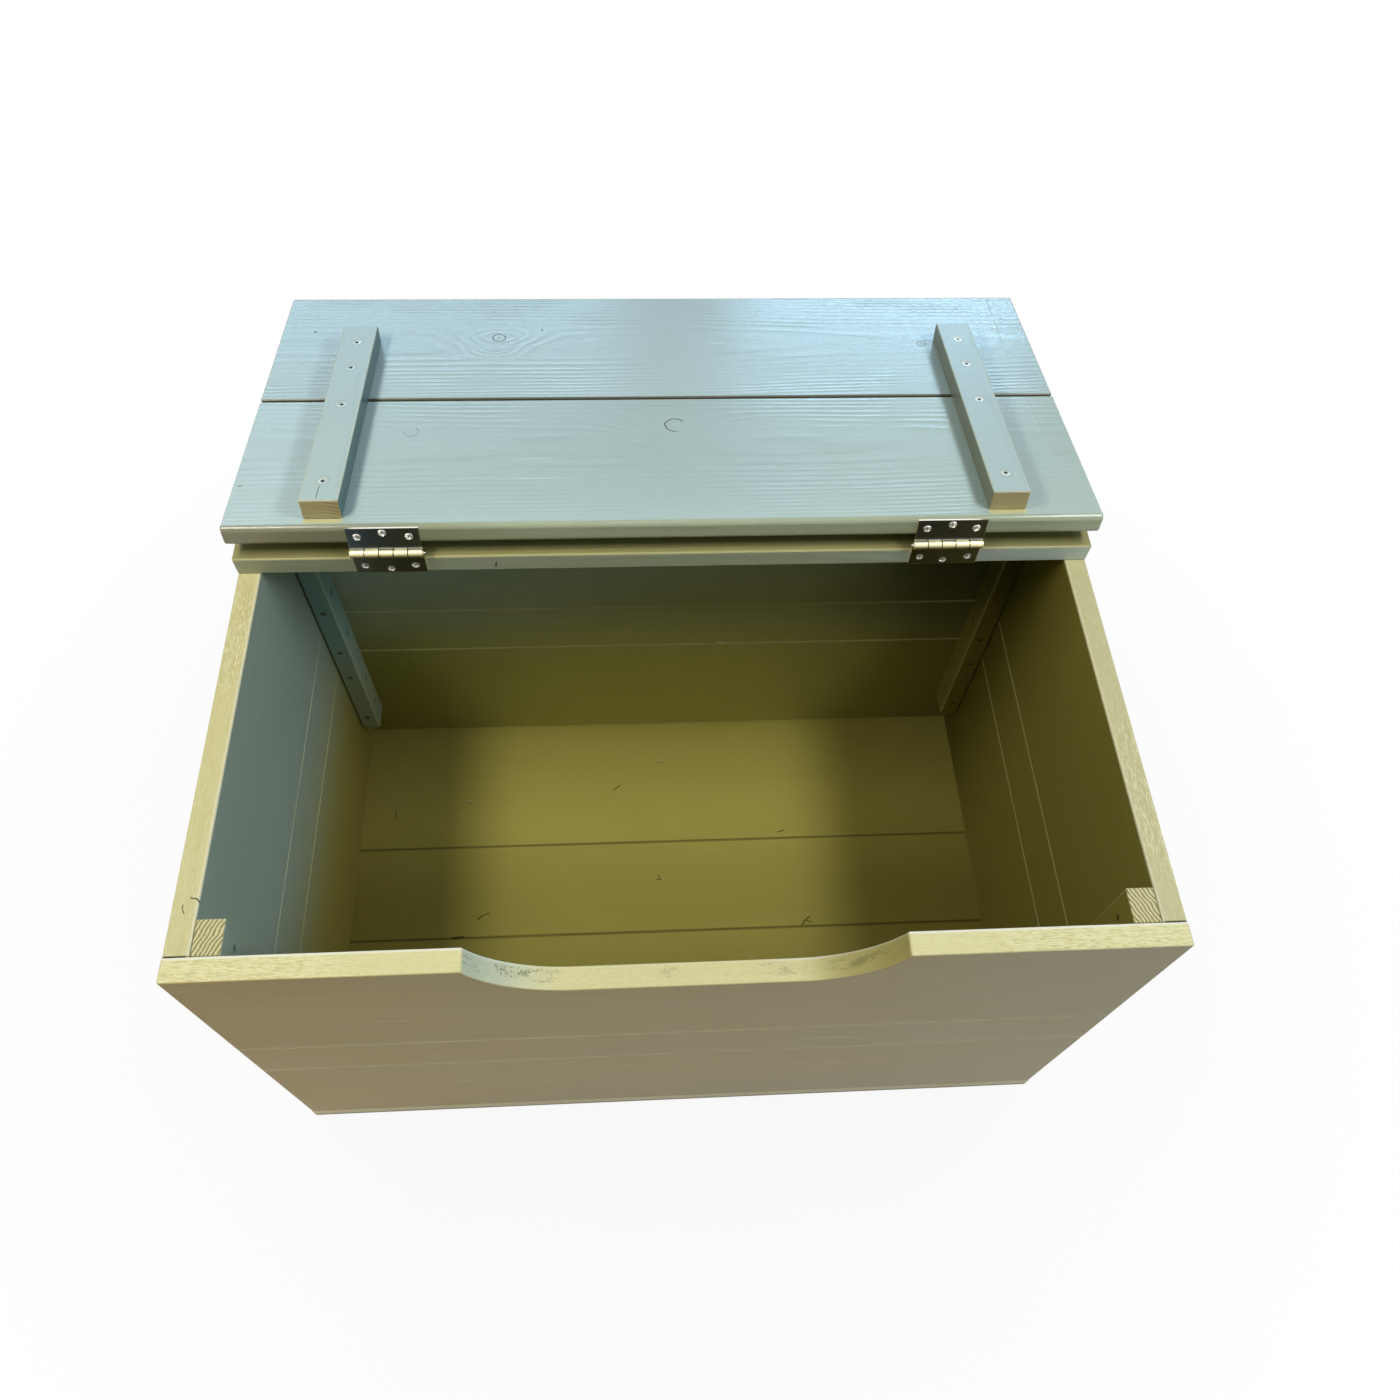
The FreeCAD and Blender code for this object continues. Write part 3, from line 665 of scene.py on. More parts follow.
# Where painted light and shade change inside the box and on the lid: heights, and places from the middle,
# in metres
COOL_LIGHT_RISE = (0.10, 0.32)
GREY_RISE = (0.16, 0.40)
BACK_TO_LEFT = (0.05, -0.36)
BACK_LEFT_CORNER = (-0.1, -0.36)
BACK_RIGHT_CORNER = (0.1, 0.36)
BACK_BLACK_SHADE_CORNER = (0.16, 0.32)
RIGHT_SHADE_TO_REAR = (0.02, 0.2)
FLOOR_SHADE_TO_FRONT = (0.09, -0.03)
FLOOR_SHADE_TO_ENDS = (0.1, 0.3)
LEFT_POST_FOOT_SHADE = (0.34, 0.14)
RIGHT_POST_TOP_SHADE = (0.22, 0.44)
RAIL_TO_RIGHT = (0.1, 0.34)
RAIL_TO_LEFT = (-0.18, -0.34)
EDGE_SHADE_TO_LEFT = (-0.1, -0.32)
LID_LEFT_END = (-0.26, -0.34)
LID_TO_MIDDLE = (0.2, 0.02)
LID_TO_RIGHT = (0.05, 0.2)

# Painted shade: inside the box the sage paint takes darker olive tones, for the shade and the light thrown
# back within it
INSIDE_SHADE = {
    "front": (OLIVE_INSIDE_SHADE, OLIVE_INSIDE_SHADE_DARK),
    "back": (OLIVE_BACK_SHADE, OLIVE_BACK_SHADE_DARK),
    "left": (OLIVE_INSIDE_SHADE, OLIVE_INSIDE_SHADE_DARK),
    "right": (OLIVE_SHADE, OLIVE_SHADE_DARK),
}
LIP_HIGHLIGHT_SHARE = {"front": 0.8, "left": 0.4, "right": 0.25}
LIP_HIGHLIGHT_FADES_AT = -30 * MM


def inside_painted_shade(finish, board, grain):
    """Olive as painted shade inside the box: cooler towards the rim on the left wall as painted light,
    greyer and cooler under the rail on the back, and darker in the corners and at the right wall's rear, as
    painted shade.
    """
    inside = two_tone(finish, grain, *INSIDE_SHADE[board.kind], INSIDE_RINGS)
    height = finish.place().dot(UP)
    # Painted light: the left wall grows cooler towards the rim, where cool light from the right falls on it
    if board.kind == "left":
        cool = two_tone(finish, grain, COOL_LIT, COOL_LIT_DARK, INSIDE_RINGS)
        inside = finish.blend(height.step(*COOL_LIGHT_RISE), inside, cool)
    # Painted light and shade on the back wall: greyer and cooler towards the top under the rail, cooler to
    # the left, darker at its lower left and along its right, and near black at the top right
    if board.kind == "back":
        grey = two_tone(finish, grain, BACK_TOP_COOL_SHADE, BACK_TOP_COOL_SHADE_DARK, INSIDE_RINGS)
        grey = finish.blend(grain.u.step(*BACK_TO_LEFT) * 0.6, grey, BACK_COOL_LIGHT)
        top_shade_share = height.step(*GREY_RISE)
        corner_shade_left = grain.u.step(*BACK_LEFT_CORNER) * (1 - top_shade_share) * 0.5
        corner_shade_right = grain.u.step(*BACK_RIGHT_CORNER) * 0.6
        inside = finish.blend(top_shade_share, inside, grey)
        inside = finish.blend(corner_shade_left.most(corner_shade_right), inside, OLIVE_CORNER_SHADE)
        inside = finish.blend(grain.u.step(*BACK_BLACK_SHADE_CORNER) * top_shade_share * 0.7, inside, GAP)
    # Painted shade: the right wall darkens towards the rear
    if board.kind == "right":
        inside = finish.blend(grain.u.step(*RIGHT_SHADE_TO_REAR) * 0.95, inside, OLIVE_CORNER_SHADE)
    return inside


def wall_colour(finish, board, grain):
    """Sage outside and olive inside as painted shade. The top boards have a sanded rim, pale from wear and
    painted light, with a painted highlight along the inner lip.
    """
    inward = -1.0 if board.kind in ("back", "right") else 1.0
    is_side = board.kind in ("left", "right")
    inner_face = grain.on_face(2.0, 1.0, inward) * grain.to_end.fade(0.5, 2.0)
    outside = outside_paint(finish, board, grain)
    # Painted shade: the inner face takes the olive of the inside
    colour = finish.blend(inner_face, outside, inside_painted_shade(finish, board, grain))
    if is_side:
        colour = finish.blend(grain.to_end.fade(1.0, 0.4) * 0.4, colour, GAP)
    if "top" not in board.node:
        return colour
    sanded = grain.to_face.fade(0.1, 1.3) * grain.rim * grain.to_end.fade(0.1, 0.7)
    colour = finish.blend(sanded, colour, rim_cream(finish, board, grain))
    if is_side:
        butted = grain.to_end.fade(1.3, 0.5) * grain.rim
        colour = finish.blend(butted * 0.85, colour, GAP)
    # Painted highlight: a white line along the rim's inner lip, weaker near the scoop
    if board.kind in LIP_HIGHLIGHT_SHARE:
        lip = grain.on_face(3.0, 1.6, inward) * grain.below_top.fade(2.2, 0.9)
        if board.kind == "front":
            lip = lip * (abs(grain.u - LIP_HIGHLIGHT_FADES_AT).fade(80, 130) * 0.8 + 0.2)
        colour = finish.blend(lip * LIP_HIGHLIGHT_SHARE[board.kind], colour, CHALK)
    return colour


def floor_colour(finish, board, grain):
    """Olive above as painted shade, darker to the front and most at the ends as painted shade, and sage
    below.
    """
    inside = two_tone(finish, grain, OLIVE_FLOOR_SHADE, OLIVE_FLOOR_SHADE_DARK, INSIDE_RINGS)
    # Painted shade: the floor darkens towards the front, and most at its ends
    darker = finish.place().dot(DEEP).step(*FLOOR_SHADE_TO_FRONT)
    darker = darker * (abs(grain.u).step(*FLOOR_SHADE_TO_ENDS) * 0.3 + 0.45)
    inside = finish.blend(darker, inside, OLIVE_SHADE_DARK)
    upper_face = grain.on_face(2.0, 0.5)
    return finish.blend(upper_face, outside_paint(finish, board, grain), inside)


POST_LIGHT_AND_SHADE_TONES = {
    "front_left_post": (COOL_LIT, COOL_LIT_DARK),
    "rear_left_post": (COOL_LIT_POST, COOL_LIT_POST_DARK),
    "front_right_post": (OLIVE_SHADE, OLIVE_SHADE_DARK),
    "rear_right_post": (OLIVE_SHADE, OLIVE_SHADE_DARK),
}
END_PITCH = 3.5 * MM
END_SLANT = 0.48
END_WAVE = 5.0 * MM
END_RAGGED = 1.0 * MM
RAGGED_WAVES = 700


def end_grain(finish, grain, slant):
    """The upper end of a post, in slanting bands."""
    wave = finish.speckle(finish.point(grain.v * 60, grain.w * 110, 0.3), detail=2.0)
    fine = finish.point(grain.v * RAGGED_WAVES, grain.w * RAGGED_WAVES, 0.7)
    ragged = finish.speckle(fine, detail=1.0)
    bands = grain.v - grain.w * slant + wave * END_WAVE + ragged * END_RAGGED
    band = (bands / END_PITCH).math("FRACT")
    return finish.blend(band.step(0.30, 0.62) * band.step(1.0, 0.80) * 0.85, CREAM, END_BROWN)


def post_colour(finish, board, grain):
    """Painted sides, cool-lit on the left posts and shaded on the right ones as painted light and shade,
    the rear left post's foot less cool and the rear right post's top near black as painted shade, with a
    dark joint at the wall, and bare end grain on top.
    """
    wallward = -1.0 if "left" in board.node else 1.0
    # Painted light and shade: the left posts cool-lit, the right ones shaded
    side = two_tone(finish, grain, *POST_LIGHT_AND_SHADE_TONES[board.node], INSIDE_RINGS)
    height = finish.place().dot(UP)
    # Painted shade: the rear left post's foot less cool, the rear right post's top near black
    if board.node == "rear_left_post":
        side = finish.blend(height.step(*LEFT_POST_FOOT_SHADE) * 0.8, side, POST_FOOT_SHADE)
    if board.node == "rear_right_post":
        side = finish.blend(height.step(*RIGHT_POST_TOP_SHADE) * 0.7, side, GAP)
    to_wall = board.half[1] - grain.v * wallward
    side = finish.blend(to_wall.fade(3.6, 1.6) * 0.9, side, GAP)
    upper_end = grain.u.step(board.half[0] - 1.0 * MM, board.half[0] - 0.3 * MM)
    return finish.blend(upper_end, side, end_grain(finish, grain, -END_SLANT * wallward))


def rail_colour(finish, board, grain):
    """The front has painted cool light to the right and painted shade to the left, and the top is olive
    along its front edge as painted shade.
    """
    front = two_tone(finish, grain, RAIL, RAIL_DARK)
    # Painted cool light to the right of the front and painted shade to its left; the top's front strip is
    # olive as painted shade
    front = finish.blend(grain.u.step(*RAIL_TO_RIGHT), front, RAIL_COOL_LIT)
    front = finish.blend(grain.u.step(*RAIL_TO_LEFT), front, RAIL_LEFT_SHADE)
    front_strip = (grain.v + board.half[1]).fade(60.0, 12.0)
    top = finish.blend(front_strip, two_tone(finish, grain, SAGE_PLAIN, SAGE_PLAIN_DARK), RAIL_TOP_SHADE)
    upper_face = grain.on_face(1.5, 0.5)
    return finish.blend(upper_face, front, top)


BATTEN_ASIDE = (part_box("right_batten")[0].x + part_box("right_batten")[1].x) / 2
BATTEN_HALF = (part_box("right_batten")[1].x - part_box("right_batten")[0].x) / 2
BATTEN_FOOT = 13.5
FOOT_WIDE = 6.5 * MM
FOOT_FADE = 2.5 * MM


def lid_colour(finish, board, grain):
    """Mist below as painted sky sheen, paler in patches and less to the right, sage on the edges and
    outside with painted shade at the nose's left end, a seam painted dark as shade, and a painted
    reflection of the battens' ends at their feet.
    """
    rear = board.node == "lid_rear_board"
    towards_nose = -1.0 if rear else 1.0
    to_nose = board.half[1] - grain.v * towards_nose
    to_seam = board.half[1] + grain.v * towards_nose
    edge = two_tone(finish, grain, EDGE, EDGE_DARK)
    at_nose = to_nose.fade(9.0, 6.0)
    # Painted shade: the nose darkens towards the lid's left end
    edge = finish.blend(grain.u.step(*EDGE_SHADE_TO_LEFT) * at_nose * 0.9, edge, EDGE_LEFT_SHADE)
    # Painted sky sheen on the underside, paler in patches and less to the right on the rear board
    under = two_tone(finish, grain, MIST_SKY_SHEEN, MIST_SKY_SHEEN_DARK, LID_RINGS)
    pale = grain.u.step(*LID_LEFT_END) if rear else abs(grain.u).step(*LID_TO_MIDDLE)
    under = finish.blend(pale * 0.8, under, MIST_SHEEN_PALE)
    if rear:
        under = finish.blend(grain.u.step(*LID_TO_RIGHT) * 0.8, under, MIST_LESS_SHEEN)
    under_face = grain.on_face(2.0, 0.6)
    colour = finish.blend(under_face * to_nose.fade(2.5, 6.0), edge, under)
    # Painted shade: the boards' edges at the seam are dark, as the gap between them is
    colour = finish.blend(to_seam.fade(1.9, 0.7) * 0.85, colour, LID_SEAM_SHADE)
    # Painted reflection: each batten's bare end mirrored as a yellow strip on the lid just in front of it
    if rear:
        foot = board.mark(0.0, BATTEN_FOOT)[1]
        strip = abs(abs(grain.u) - BATTEN_ASIDE).step(BATTEN_HALF + 1.5 * MM, BATTEN_HALF - 1.0 * MM)
        strip = strip * (foot - grain.v).step(FOOT_WIDE, FOOT_WIDE - FOOT_FADE)
        strip = strip * grain.v.step(foot + 1.0 * MM, foot) * grain.w.fade(0, 1.0)
        colour = finish.blend(strip * 0.75, colour, BATTEN_END_REFLECTION)
    return colour


HOLE = 5.6 * MM


def batten_colour(finish, board, grain):
    """Mist on top, sides in painted shade, cooler on the left batten and warmer on the right, bare ends,
    and paint broken pale round the screws.
    """
    top = two_tone(finish, grain, MIST_SKY_SHEEN, MIST_SKY_SHEEN_DARK, LID_RINGS)
    # Painted shade on the sides, cooler on the left batten and warmer on the right
    side = SIDE_SHADE_COOL if "left" in board.node else SIDE_SHADE_WARM
    side = finish.blend(grain.on_face(1.6, 0.4), side, top)
    nearest = nearest_head(finish)
    pale = nearest.step(HOLE, HOLE - 0.8 * MM) * grain.cloud.step(-0.2, 0.1) * 0.6
    side = finish.blend(pale, side, CHALK)
    side = finish.blend(abs(nearest - HOLE).fade(0.8, 0.2) * 0.3, side, GAP)
    end = finish.blend(grain.late * 0.5 + grain.fibre * 0.4 + 0.2, BATTEN_END, BATTEN_END_DARK)
    return finish.blend(grain.to_end.fade(1.2, 0.4), side, end)


COLOURS = {
    **dict.fromkeys(INSIDE_SHADE, wall_colour),
    "floor": floor_colour,
    "post": post_colour,
    "rail": rail_colour,
    "lid": lid_colour,
    "batten": batten_colour,
}
# How much of the long arrises is painted pale, as rubbed paint and painted highlight, or dark at the
# floor's seams, to what, and how wide
USUAL_ARRIS = 2.3 * MM
ARRIS = {
    "front": (0.85, CREAM_PALE, 2.8 * MM),
    "back": (0.62, CREAM, 2.6 * MM),
    "left": (0.42, CREAM, USUAL_ARRIS),
    "right": (0.38, CREAM, USUAL_ARRIS),
    "floor": (0.45, GAP, USUAL_ARRIS),
    "post": (0.26, CREAM, USUAL_ARRIS),
    "rail": (0.30, CREAM, USUAL_ARRIS),
    "batten": (0.28, CREAM, USUAL_ARRIS),
}
GLOSS = {"lid": 0.5, "batten": 0.4, "rail": 0.3}
MATT = 0.06
ROUGH = {"lid": 0.26, "batten": 0.32}
USUAL_ROUGH = 0.38


def arrises_and_seams(finish, board, grain, colour):
    """Long arrises pale, as rubbed paint and as a painted highlight where they face the light, the floor's
    seams dark, and its front edge with a painted highlight above and dark below.
    """
    if board.kind not in ARRIS:
        return colour
    share, tone, reach = ARRIS[board.kind]
    wide = grain.to_edge.most(grain.to_face) + grain.cloud * (1.0 * MM) + grain.streak * (0.8 * MM)
    # Pale arrises: rubbed paint, and painted highlight where they face the light
    rubbed = wide.step(reach, reach * 0.4) * share
    if board.node == "front_top_board":
        rubbed = rubbed * grain.v.fade(0, -20)
    if board.node != "floor_front_board":
        return finish.blend(rubbed, colour, tone)
    colour = finish.blend(rubbed * grain.v.fade(-20, 0), colour, tone)
    # Painted highlight along the floor's front arris, with a dark joint below it
    front_edge = (grain.v + board.half[1]).fade(2.4, 1.2)
    colour = finish.blend(front_edge * grain.w.fade(-6, -2) * 0.95, colour, CREAM_PALE)
    return finish.blend(front_edge * grain.w.fade(-4, -7) * 0.6, colour, GAP)


PIT_WAVES = 560
CLUMP_WAVES = 60


def scooped_edge(finish, board, grain, colour, height):
    """The hand scoop: painted cool light on its left round and painted shade on the right one, pitted along
    the middle.
    """
    u, v, w = grain.u, grain.v, grain.w
    scooped = grain.rim * grain.to_face.fade(0.2, 1.3)
    scooped = scooped * v.step(board.half[1] - 0.5 * MM, board.half[1] - 3.0 * MM)
    # Painted light on the scoop's left round and painted shade on its right one
    colour = finish.blend(u.fade(-92, -165) * scooped * 0.55, colour, MIST_SKY_SHEEN)
    colour = finish.blend(u.fade(86, 140) * scooped * 0.8, colour, OLIVE_INSIDE_SHADE)
    pits = finish.speckle(finish.point(u * PIT_WAVES, v * PIT_WAVES, w * 900), detail=2.0)
    clumps = finish.speckle(finish.point(u * CLUMP_WAVES, v * CLUMP_WAVES, w * 160), detail=1.0)
    torn = strongest([stretch(u, middle, reach) * share for middle, reach, share in SCOOP_PITS])
    middle_band = abs(w - 1.5 * MM).fade(7.5, 3.0)
    torn = torn * middle_band * scooped * (pits + clumps * 0.7).step(0.06, 0.20)
    return finish.blend(torn * 0.6, colour, PIT), height - torn * PIT_DEEP


def drawn_cracks(board, grain, marked_face):
    """Cracks drawn on a board's face, in its rim or in the rail's front."""
    drawn = []
    u = grain.u + grain.wander * (1.0 * MM)
    if board.node in CRACKS:
        drawn.append(strokes(board, u, grain.v, CRACKS[board.node]) * marked_face)
    if board.node in RIM_CRACKS:
        sunk = grain.v + board.half[1] if board.kind == "rail" else grain.below_top
        on_edge = sunk.fade(2.5, 1.2)
        drawn.append(strokes(board, u, grain.w, RIM_CRACKS[board.node], axis=2) * on_edge)
    return drawn


def painted_pine(board, number):
    """Satin paint over planed pine: year rings and fibres stand out, and the arrises are rubbed."""
    finish = new_finish(f"painted_pine_{board.node}")
    grain = Grain(finish, board, number)
    colour = COLOURS[board.kind](finish, board, grain)
    colour = arrises_and_seams(finish, board, grain, colour)
    height = grain.height
    marked_face = (grain.w * (-1.0 if board.kind == "front" else 1.0)).fade(0, 2.0)
    if board.node in TORN_RIM:
        height = height + grain.fleck * (grain.rim * torn_stretch(board, grain)) * TORN_HIGH
    # Painted highlights along the glints, which also stand a little proud
    if board.node in GLINTS:
        glint = strokes(board, grain.u, grain.v, GLINTS[board.node], core=0.05) * marked_face
        glint = glint * grain.streak.step(-0.12, 0.2)
        colour = finish.blend(glint * 0.24, colour, CHALK)
        height = height + glint * GLINT_HIGH
    if board.node in CHIPS:
        chip = strokes(board, grain.u, grain.v, CHIPS[board.node]) * grain.fleck.step(-0.15, 0.05)
        colour = finish.blend(chip * 0.8, colour, CHALK)
        height = height - chip * CHIP_DEEP
    if board.node == "front_top_board":
        colour, height = scooped_edge(finish, board, grain, colour, height)
    cracks = grain.cracks + drawn_cracks(board, grain, marked_face)
    if cracks:
        crack = strongest(cracks)
        colour = finish.blend(crack * 0.85, colour, GAP)
        height = height - crack * CRACK_DEEP
    rough = grain.late * -0.05 + grain.cloud * 0.12 + grain.fibre * 0.08
    return finish.surface(
        height,
        Base_Color=colour,
        Roughness=rough + ROUGH.get(board.kind, USUAL_ROUGH),
        Specular_IOR_Level=GLOSS.get(board.kind, MATT),
    )


for number, board in enumerate(BOARDS):
    frame["nodes"][board.node].material_slots[0].material = painted_pine(board, number)


# Hinges and screws

# Blotches and specks, in waves per metre
PLATE_BLOTCHES = 160.0
STEEL_BLOTCHES = 220.0
WORN_SPOTS = 620.0
RAGGED_SPECKS = 700.0
BRIGHT_PATCHES = 75.0

DARK_PLATE = shade(162, 170, 194)
DARK_PLATE_WORN = shade(142, 149, 170)
PLATE_EDGE_HIGHLIGHT = shade(250, 246, 226)
BRASSY = shade(208, 200, 156)
KNUCKLE = 13 * MM
HINGE_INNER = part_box("right_hinge_rail_leaf")[0].x
HINGE_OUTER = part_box("right_hinge_rail_leaf")[1].x
BARREL = 4.0 * MM
BRUSH_ALONG = 60
BRUSH_ACROSS = 3000
BRUSH_DEEP = 0.004 * MM
JOINT_HALF = (0.045, 0.02)
JOINT_DEEP = 0.3 * MM


def plated_leaf(node, upright):
    """Zinc plate: dark mirror flats, edges painted bright as a highlight, a rolled barrel with its knuckle
    joints.
    """
    finish = new_finish(f"plated_{node}")
    place = finish.place()
    x, y, z = place.dot(ACROSS), place.dot(DEEP), place.dot(UP)
    lines = finish.speckle(finish.point(x * BRUSH_ALONG, y * BRUSH_ACROSS, z * BRUSH_ACROSS))
    blotch = finish.speckle(place, PLATE_BLOTCHES, 3.0)
    low, high = corners(node, (upright,))
    tall = place.dot(upright)
    side = (abs(x) - HINGE_INNER).least(HINGE_OUTER - abs(x))
    edge = side.least(tall - low[0]).least(high[0] - tall).fade(0.7, 0.35)
    from_pin = span(y - PIVOT.y, z - PIVOT.z)
    barrel = from_pin.step(BARREL + 0.5 * MM, BARREL + 0.1 * MM)
    joint = ((abs(x) - HINGE_INNER) / KNUCKLE + 0.5).math("FRACT") - 0.5
    joint = abs(joint).step(*JOINT_HALF) * barrel * side.fade(2, 3)
    colour = finish.blend(blotch + 0.4, DARK_PLATE, DARK_PLATE_WORN)
    # Painted highlight along the leaf's edges
    colour = finish.blend(edge, colour, PLATE_EDGE_HIGHLIGHT)
    colour = finish.blend(barrel, colour, BRASSY)
    colour = finish.blend(joint, colour, GAP)
    return finish.surface(
        lines * BRUSH_DEEP - joint * JOINT_DEEP,
        Base_Color=colour,
        Metallic=1.0,
        Roughness=blotch * 0.08 + lines * 0.05 + barrel * 0.2 + 0.2,
    )


STEEL_WORN = shade(176, 174, 166)
ZINC = shade(206, 204, 196)
LATHE_WAVES = 900
LATHE_DEEP = 0.02 * MM


def bare_steel(name, tone, rough):
    """Turned steel with fine lines."""
    finish = new_finish(name)
    place = finish.place()
    lines = finish.speckle(finish.point(*(place.dot(axis * LATHE_WAVES) for axis in (ACROSS, DEEP, UP))))
    blotch = finish.speckle(place, STEEL_BLOTCHES, 3.0)
    return finish.surface(
        lines * LATHE_DEEP,
        Base_Color=finish.blend(blotch + 0.4, tone, STEEL_WORN),
        Metallic=1.0,
        Roughness=blotch * 0.15 + lines * 0.1 + rough,
    )


def painted_screw(name, tone, worn_tone, share):
    """Screw heads with paint brushed over them and rubbed off in places."""
    finish = new_finish(name)
    place = finish.place()
    worn = finish.speckle(place, WORN_SPOTS).step(0.12 - share, 0.2 - share)
    return finish.surface(
        worn * (-0.05 * MM),
        Base_Color=finish.blend(worn, tone, worn_tone),
        Metallic=worn * 0.3,
        Roughness=0.45 - worn * 0.1,
    )


POST_FACE_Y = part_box("rear_left_post")[0].y
POST_FACE_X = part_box("rear_right_post")[0].x


def post_screw(name, axis, face):
    """Heads in the posts: painted over with the wood, cool-lit on the left and shaded on the right as
    painted light and shade, the cross painted dark as shade in the recess, and ragged.
    """
    finish = new_finish(name)
    place = finish.place()
    ragged = finish.speckle(place, RAGGED_SPECKS)
    sunk = abs(place.dot(axis)) - face + ragged * (0.5 * MM)
    left = place.dot(ACROSS).step(0.05, -0.05)
    paint = finish.blend(left, OLIVE_SHADE_DARK, COOL_LIT_DARK)
    paint = finish.blend(ragged.step(0.06, 0.2) * 0.6, paint, CREAM)
    paint = finish.blend(ragged.step(0.0, -0.12) * 0.8, paint, GAP)
    # Painted shade: darker the deeper the recess
    dark = sunk.fade(0.35, 0.75)
    return finish.surface(
        ragged * (0.1 * MM),
        Base_Color=finish.blend(dark * 0.9, paint, GAP),
        Roughness=ragged * 0.2 + 0.45,
        Specular_IOR_Level=MATT,
    )


def batten_screw():
    """Heads in the battens: paint with pale patches, partly bare metal and partly painted highlight, round
    a dark eye painted as shade in the recess.
    """
    finish = new_finish("batten_screw")
    place = finish.place()
    nearest = nearest_head(finish)
    bright = finish.speckle(place, BRIGHT_PATCHES).step(-0.16, 0.10)
    flecks = finish.speckle(place, RAGGED_SPECKS)
    # Pale patches: partly bare metal, partly painted highlight
    paint = finish.blend(bright, MIST_SKY_SHEEN, CHALK)
    outline = nearest.fade(3.3, 3.7) * 0.5
    # Painted shade: the dark eye in the middle of the recess
    eye = (nearest + flecks * (0.5 * MM)).fade(2.0, 1.4)
    return finish.surface(
        flecks * (0.06 * MM),
        Base_Color=finish.blend(eye.most(outline), paint, GAP),
        Metallic=0.2,
        Roughness=flecks * 0.2 + 0.35,
    )


HEAD_HIGH = 0.75 * MM
HEAD_SKIRT = 0.9 * MM
CROSS_LONG = 2.7 * MM
CROSS_HALF = 0.75 * MM
CROSS_DEEP = 1.1 * MM
CROSS_RISE = 0.4
HEAD_STEPS = (0.14, 0.30, 0.45, 0.58, 0.68, 0.80, 0.92, 1.0)
HEAD_SIDES = 40
FIRST_TWIST = 0.5
HEAD_TWIST = 1.1


def domed_rings(shape, middle, radius, outward, twist):
    """Rings of points over a low dome, from its middle out, and the set of those in the cross."""
    beside = outward.cross(ACROSS)
    cut = set()
    rings = []
    for step in HEAD_STEPS:
        reach = radius * step
        ring = []
        for side in range(HEAD_SIDES):
            turn = 2 * math.pi * side / HEAD_SIDES
            a, b = reach * math.cos(turn - twist), reach * math.sin(turn - twist)
            in_cross = min(abs(a), abs(b)) < CROSS_HALF and reach < CROSS_LONG
            rise = HEAD_HIGH * (1 - step ** 2)
            if in_cross:
                rise -= CROSS_DEEP * (1 - reach / CROSS_LONG * CROSS_RISE)
            sideways = ACROSS * math.cos(turn) + beside * math.sin(turn)
            ring.append(shape.verts.new(middle + sideways * reach + outward * rise))
            if in_cross:
                cut.add(ring[-1])
        rings.append(ring)
    return rings, cut


def domed_head(shape, middle, radius, outward, twist):
    """One closed head with a skirt down into the leaf. The cross has the second material, dark steel as
    painted shade in the recess.
    """
    rings, cut = domed_rings(shape, middle, radius, outward, twist)
    rings.append([shape.verts.new(vertex.co - outward * HEAD_SKIRT) for vertex in rings[-1]])
    centre = shape.verts.new(middle + outward * (HEAD_HIGH - CROSS_DEEP))
    cut.add(centre)
    for side in range(HEAD_SIDES):
        following = (side + 1) % HEAD_SIDES
        made = [shape.faces.new((centre, rings[0][side], rings[0][following]))]
        for inner, outer in zip(rings, rings[1:]):
            made.append(shape.faces.new((inner[side], outer[side], outer[following], inner[following])))
        for face in made:
            face.material_index = 1 if cut.issuperset(face.verts) else 0
    shape.faces.new(list(reversed(rings[-1])))


def raised_screws(node, body, outward):
    """Low domed heads with a cross cut, in place of a node's flat ones."""
    shape = bmesh.new()
    for number, (middle, radius) in enumerate(head_middles(node, outward)):
        domed_head(shape, middle, radius, outward, FIRST_TWIST + number * HEAD_TWIST)
    bmesh.ops.recalc_face_normals(shape, faces=shape.faces)
    mesh = bpy.data.meshes.new(f"{node}_raised")
    shape.to_mesh(mesh)
    shape.free()
    piece = bpy.data.objects.new(f"{node}_raised", mesh)
    bpy.context.scene.collection.objects.link(piece)
    mesh.materials.append(screw_steel)
    mesh.materials.append(recess_shade_steel)
    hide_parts(node)
    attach(piece, body)


for hinge in ("left_hinge", "right_hinge"):
    for leaf, upright in (("rail_leaf", UP), ("lid_leaf", LID_UP)):
        node = f"{hinge}_{leaf}"
        frame["nodes"][node].material_slots[0].material = plated_leaf(node, upright)
screw_steel = bare_steel("screw_steel", shade(248, 248, 244), 0.28)
# Dark steel for the cross recess: painted shade
recess_shade_steel = bare_steel("recess_shade_steel", shade(72, 72, 68), 0.45)
pin_steel = bare_steel("pin_steel", shade(240, 236, 222), 0.16)
METALS = {
    "left_hinge_pin": pin_steel,
    "right_hinge_pin": pin_steel,
    "lid_hinge_screws": screw_steel,
    "rail_hinge_screws": screw_steel,
    "batten_screws": batten_screw(),
    "wall_screws": post_screw("wall_head", DEEP, POST_FACE_Y),
    "side_screws": post_screw("side_head", ACROSS, POST_FACE_X),
    "floor_screws": painted_screw("floor_head", SAGE_WARM_LIT_DARK, ZINC, 0.10),
    "rail_screws": painted_screw("rail_head", RAIL_DARK, ZINC, 0.08),
}
for node, metal in METALS.items():
    frame["nodes"][node].material_slots[0].material = metal
raised_screws("rail_hinge_screws", "box", -DEEP)
raised_screws("lid_hinge_screws", "lid", -LID_ALONG)


# Floor, light and camera

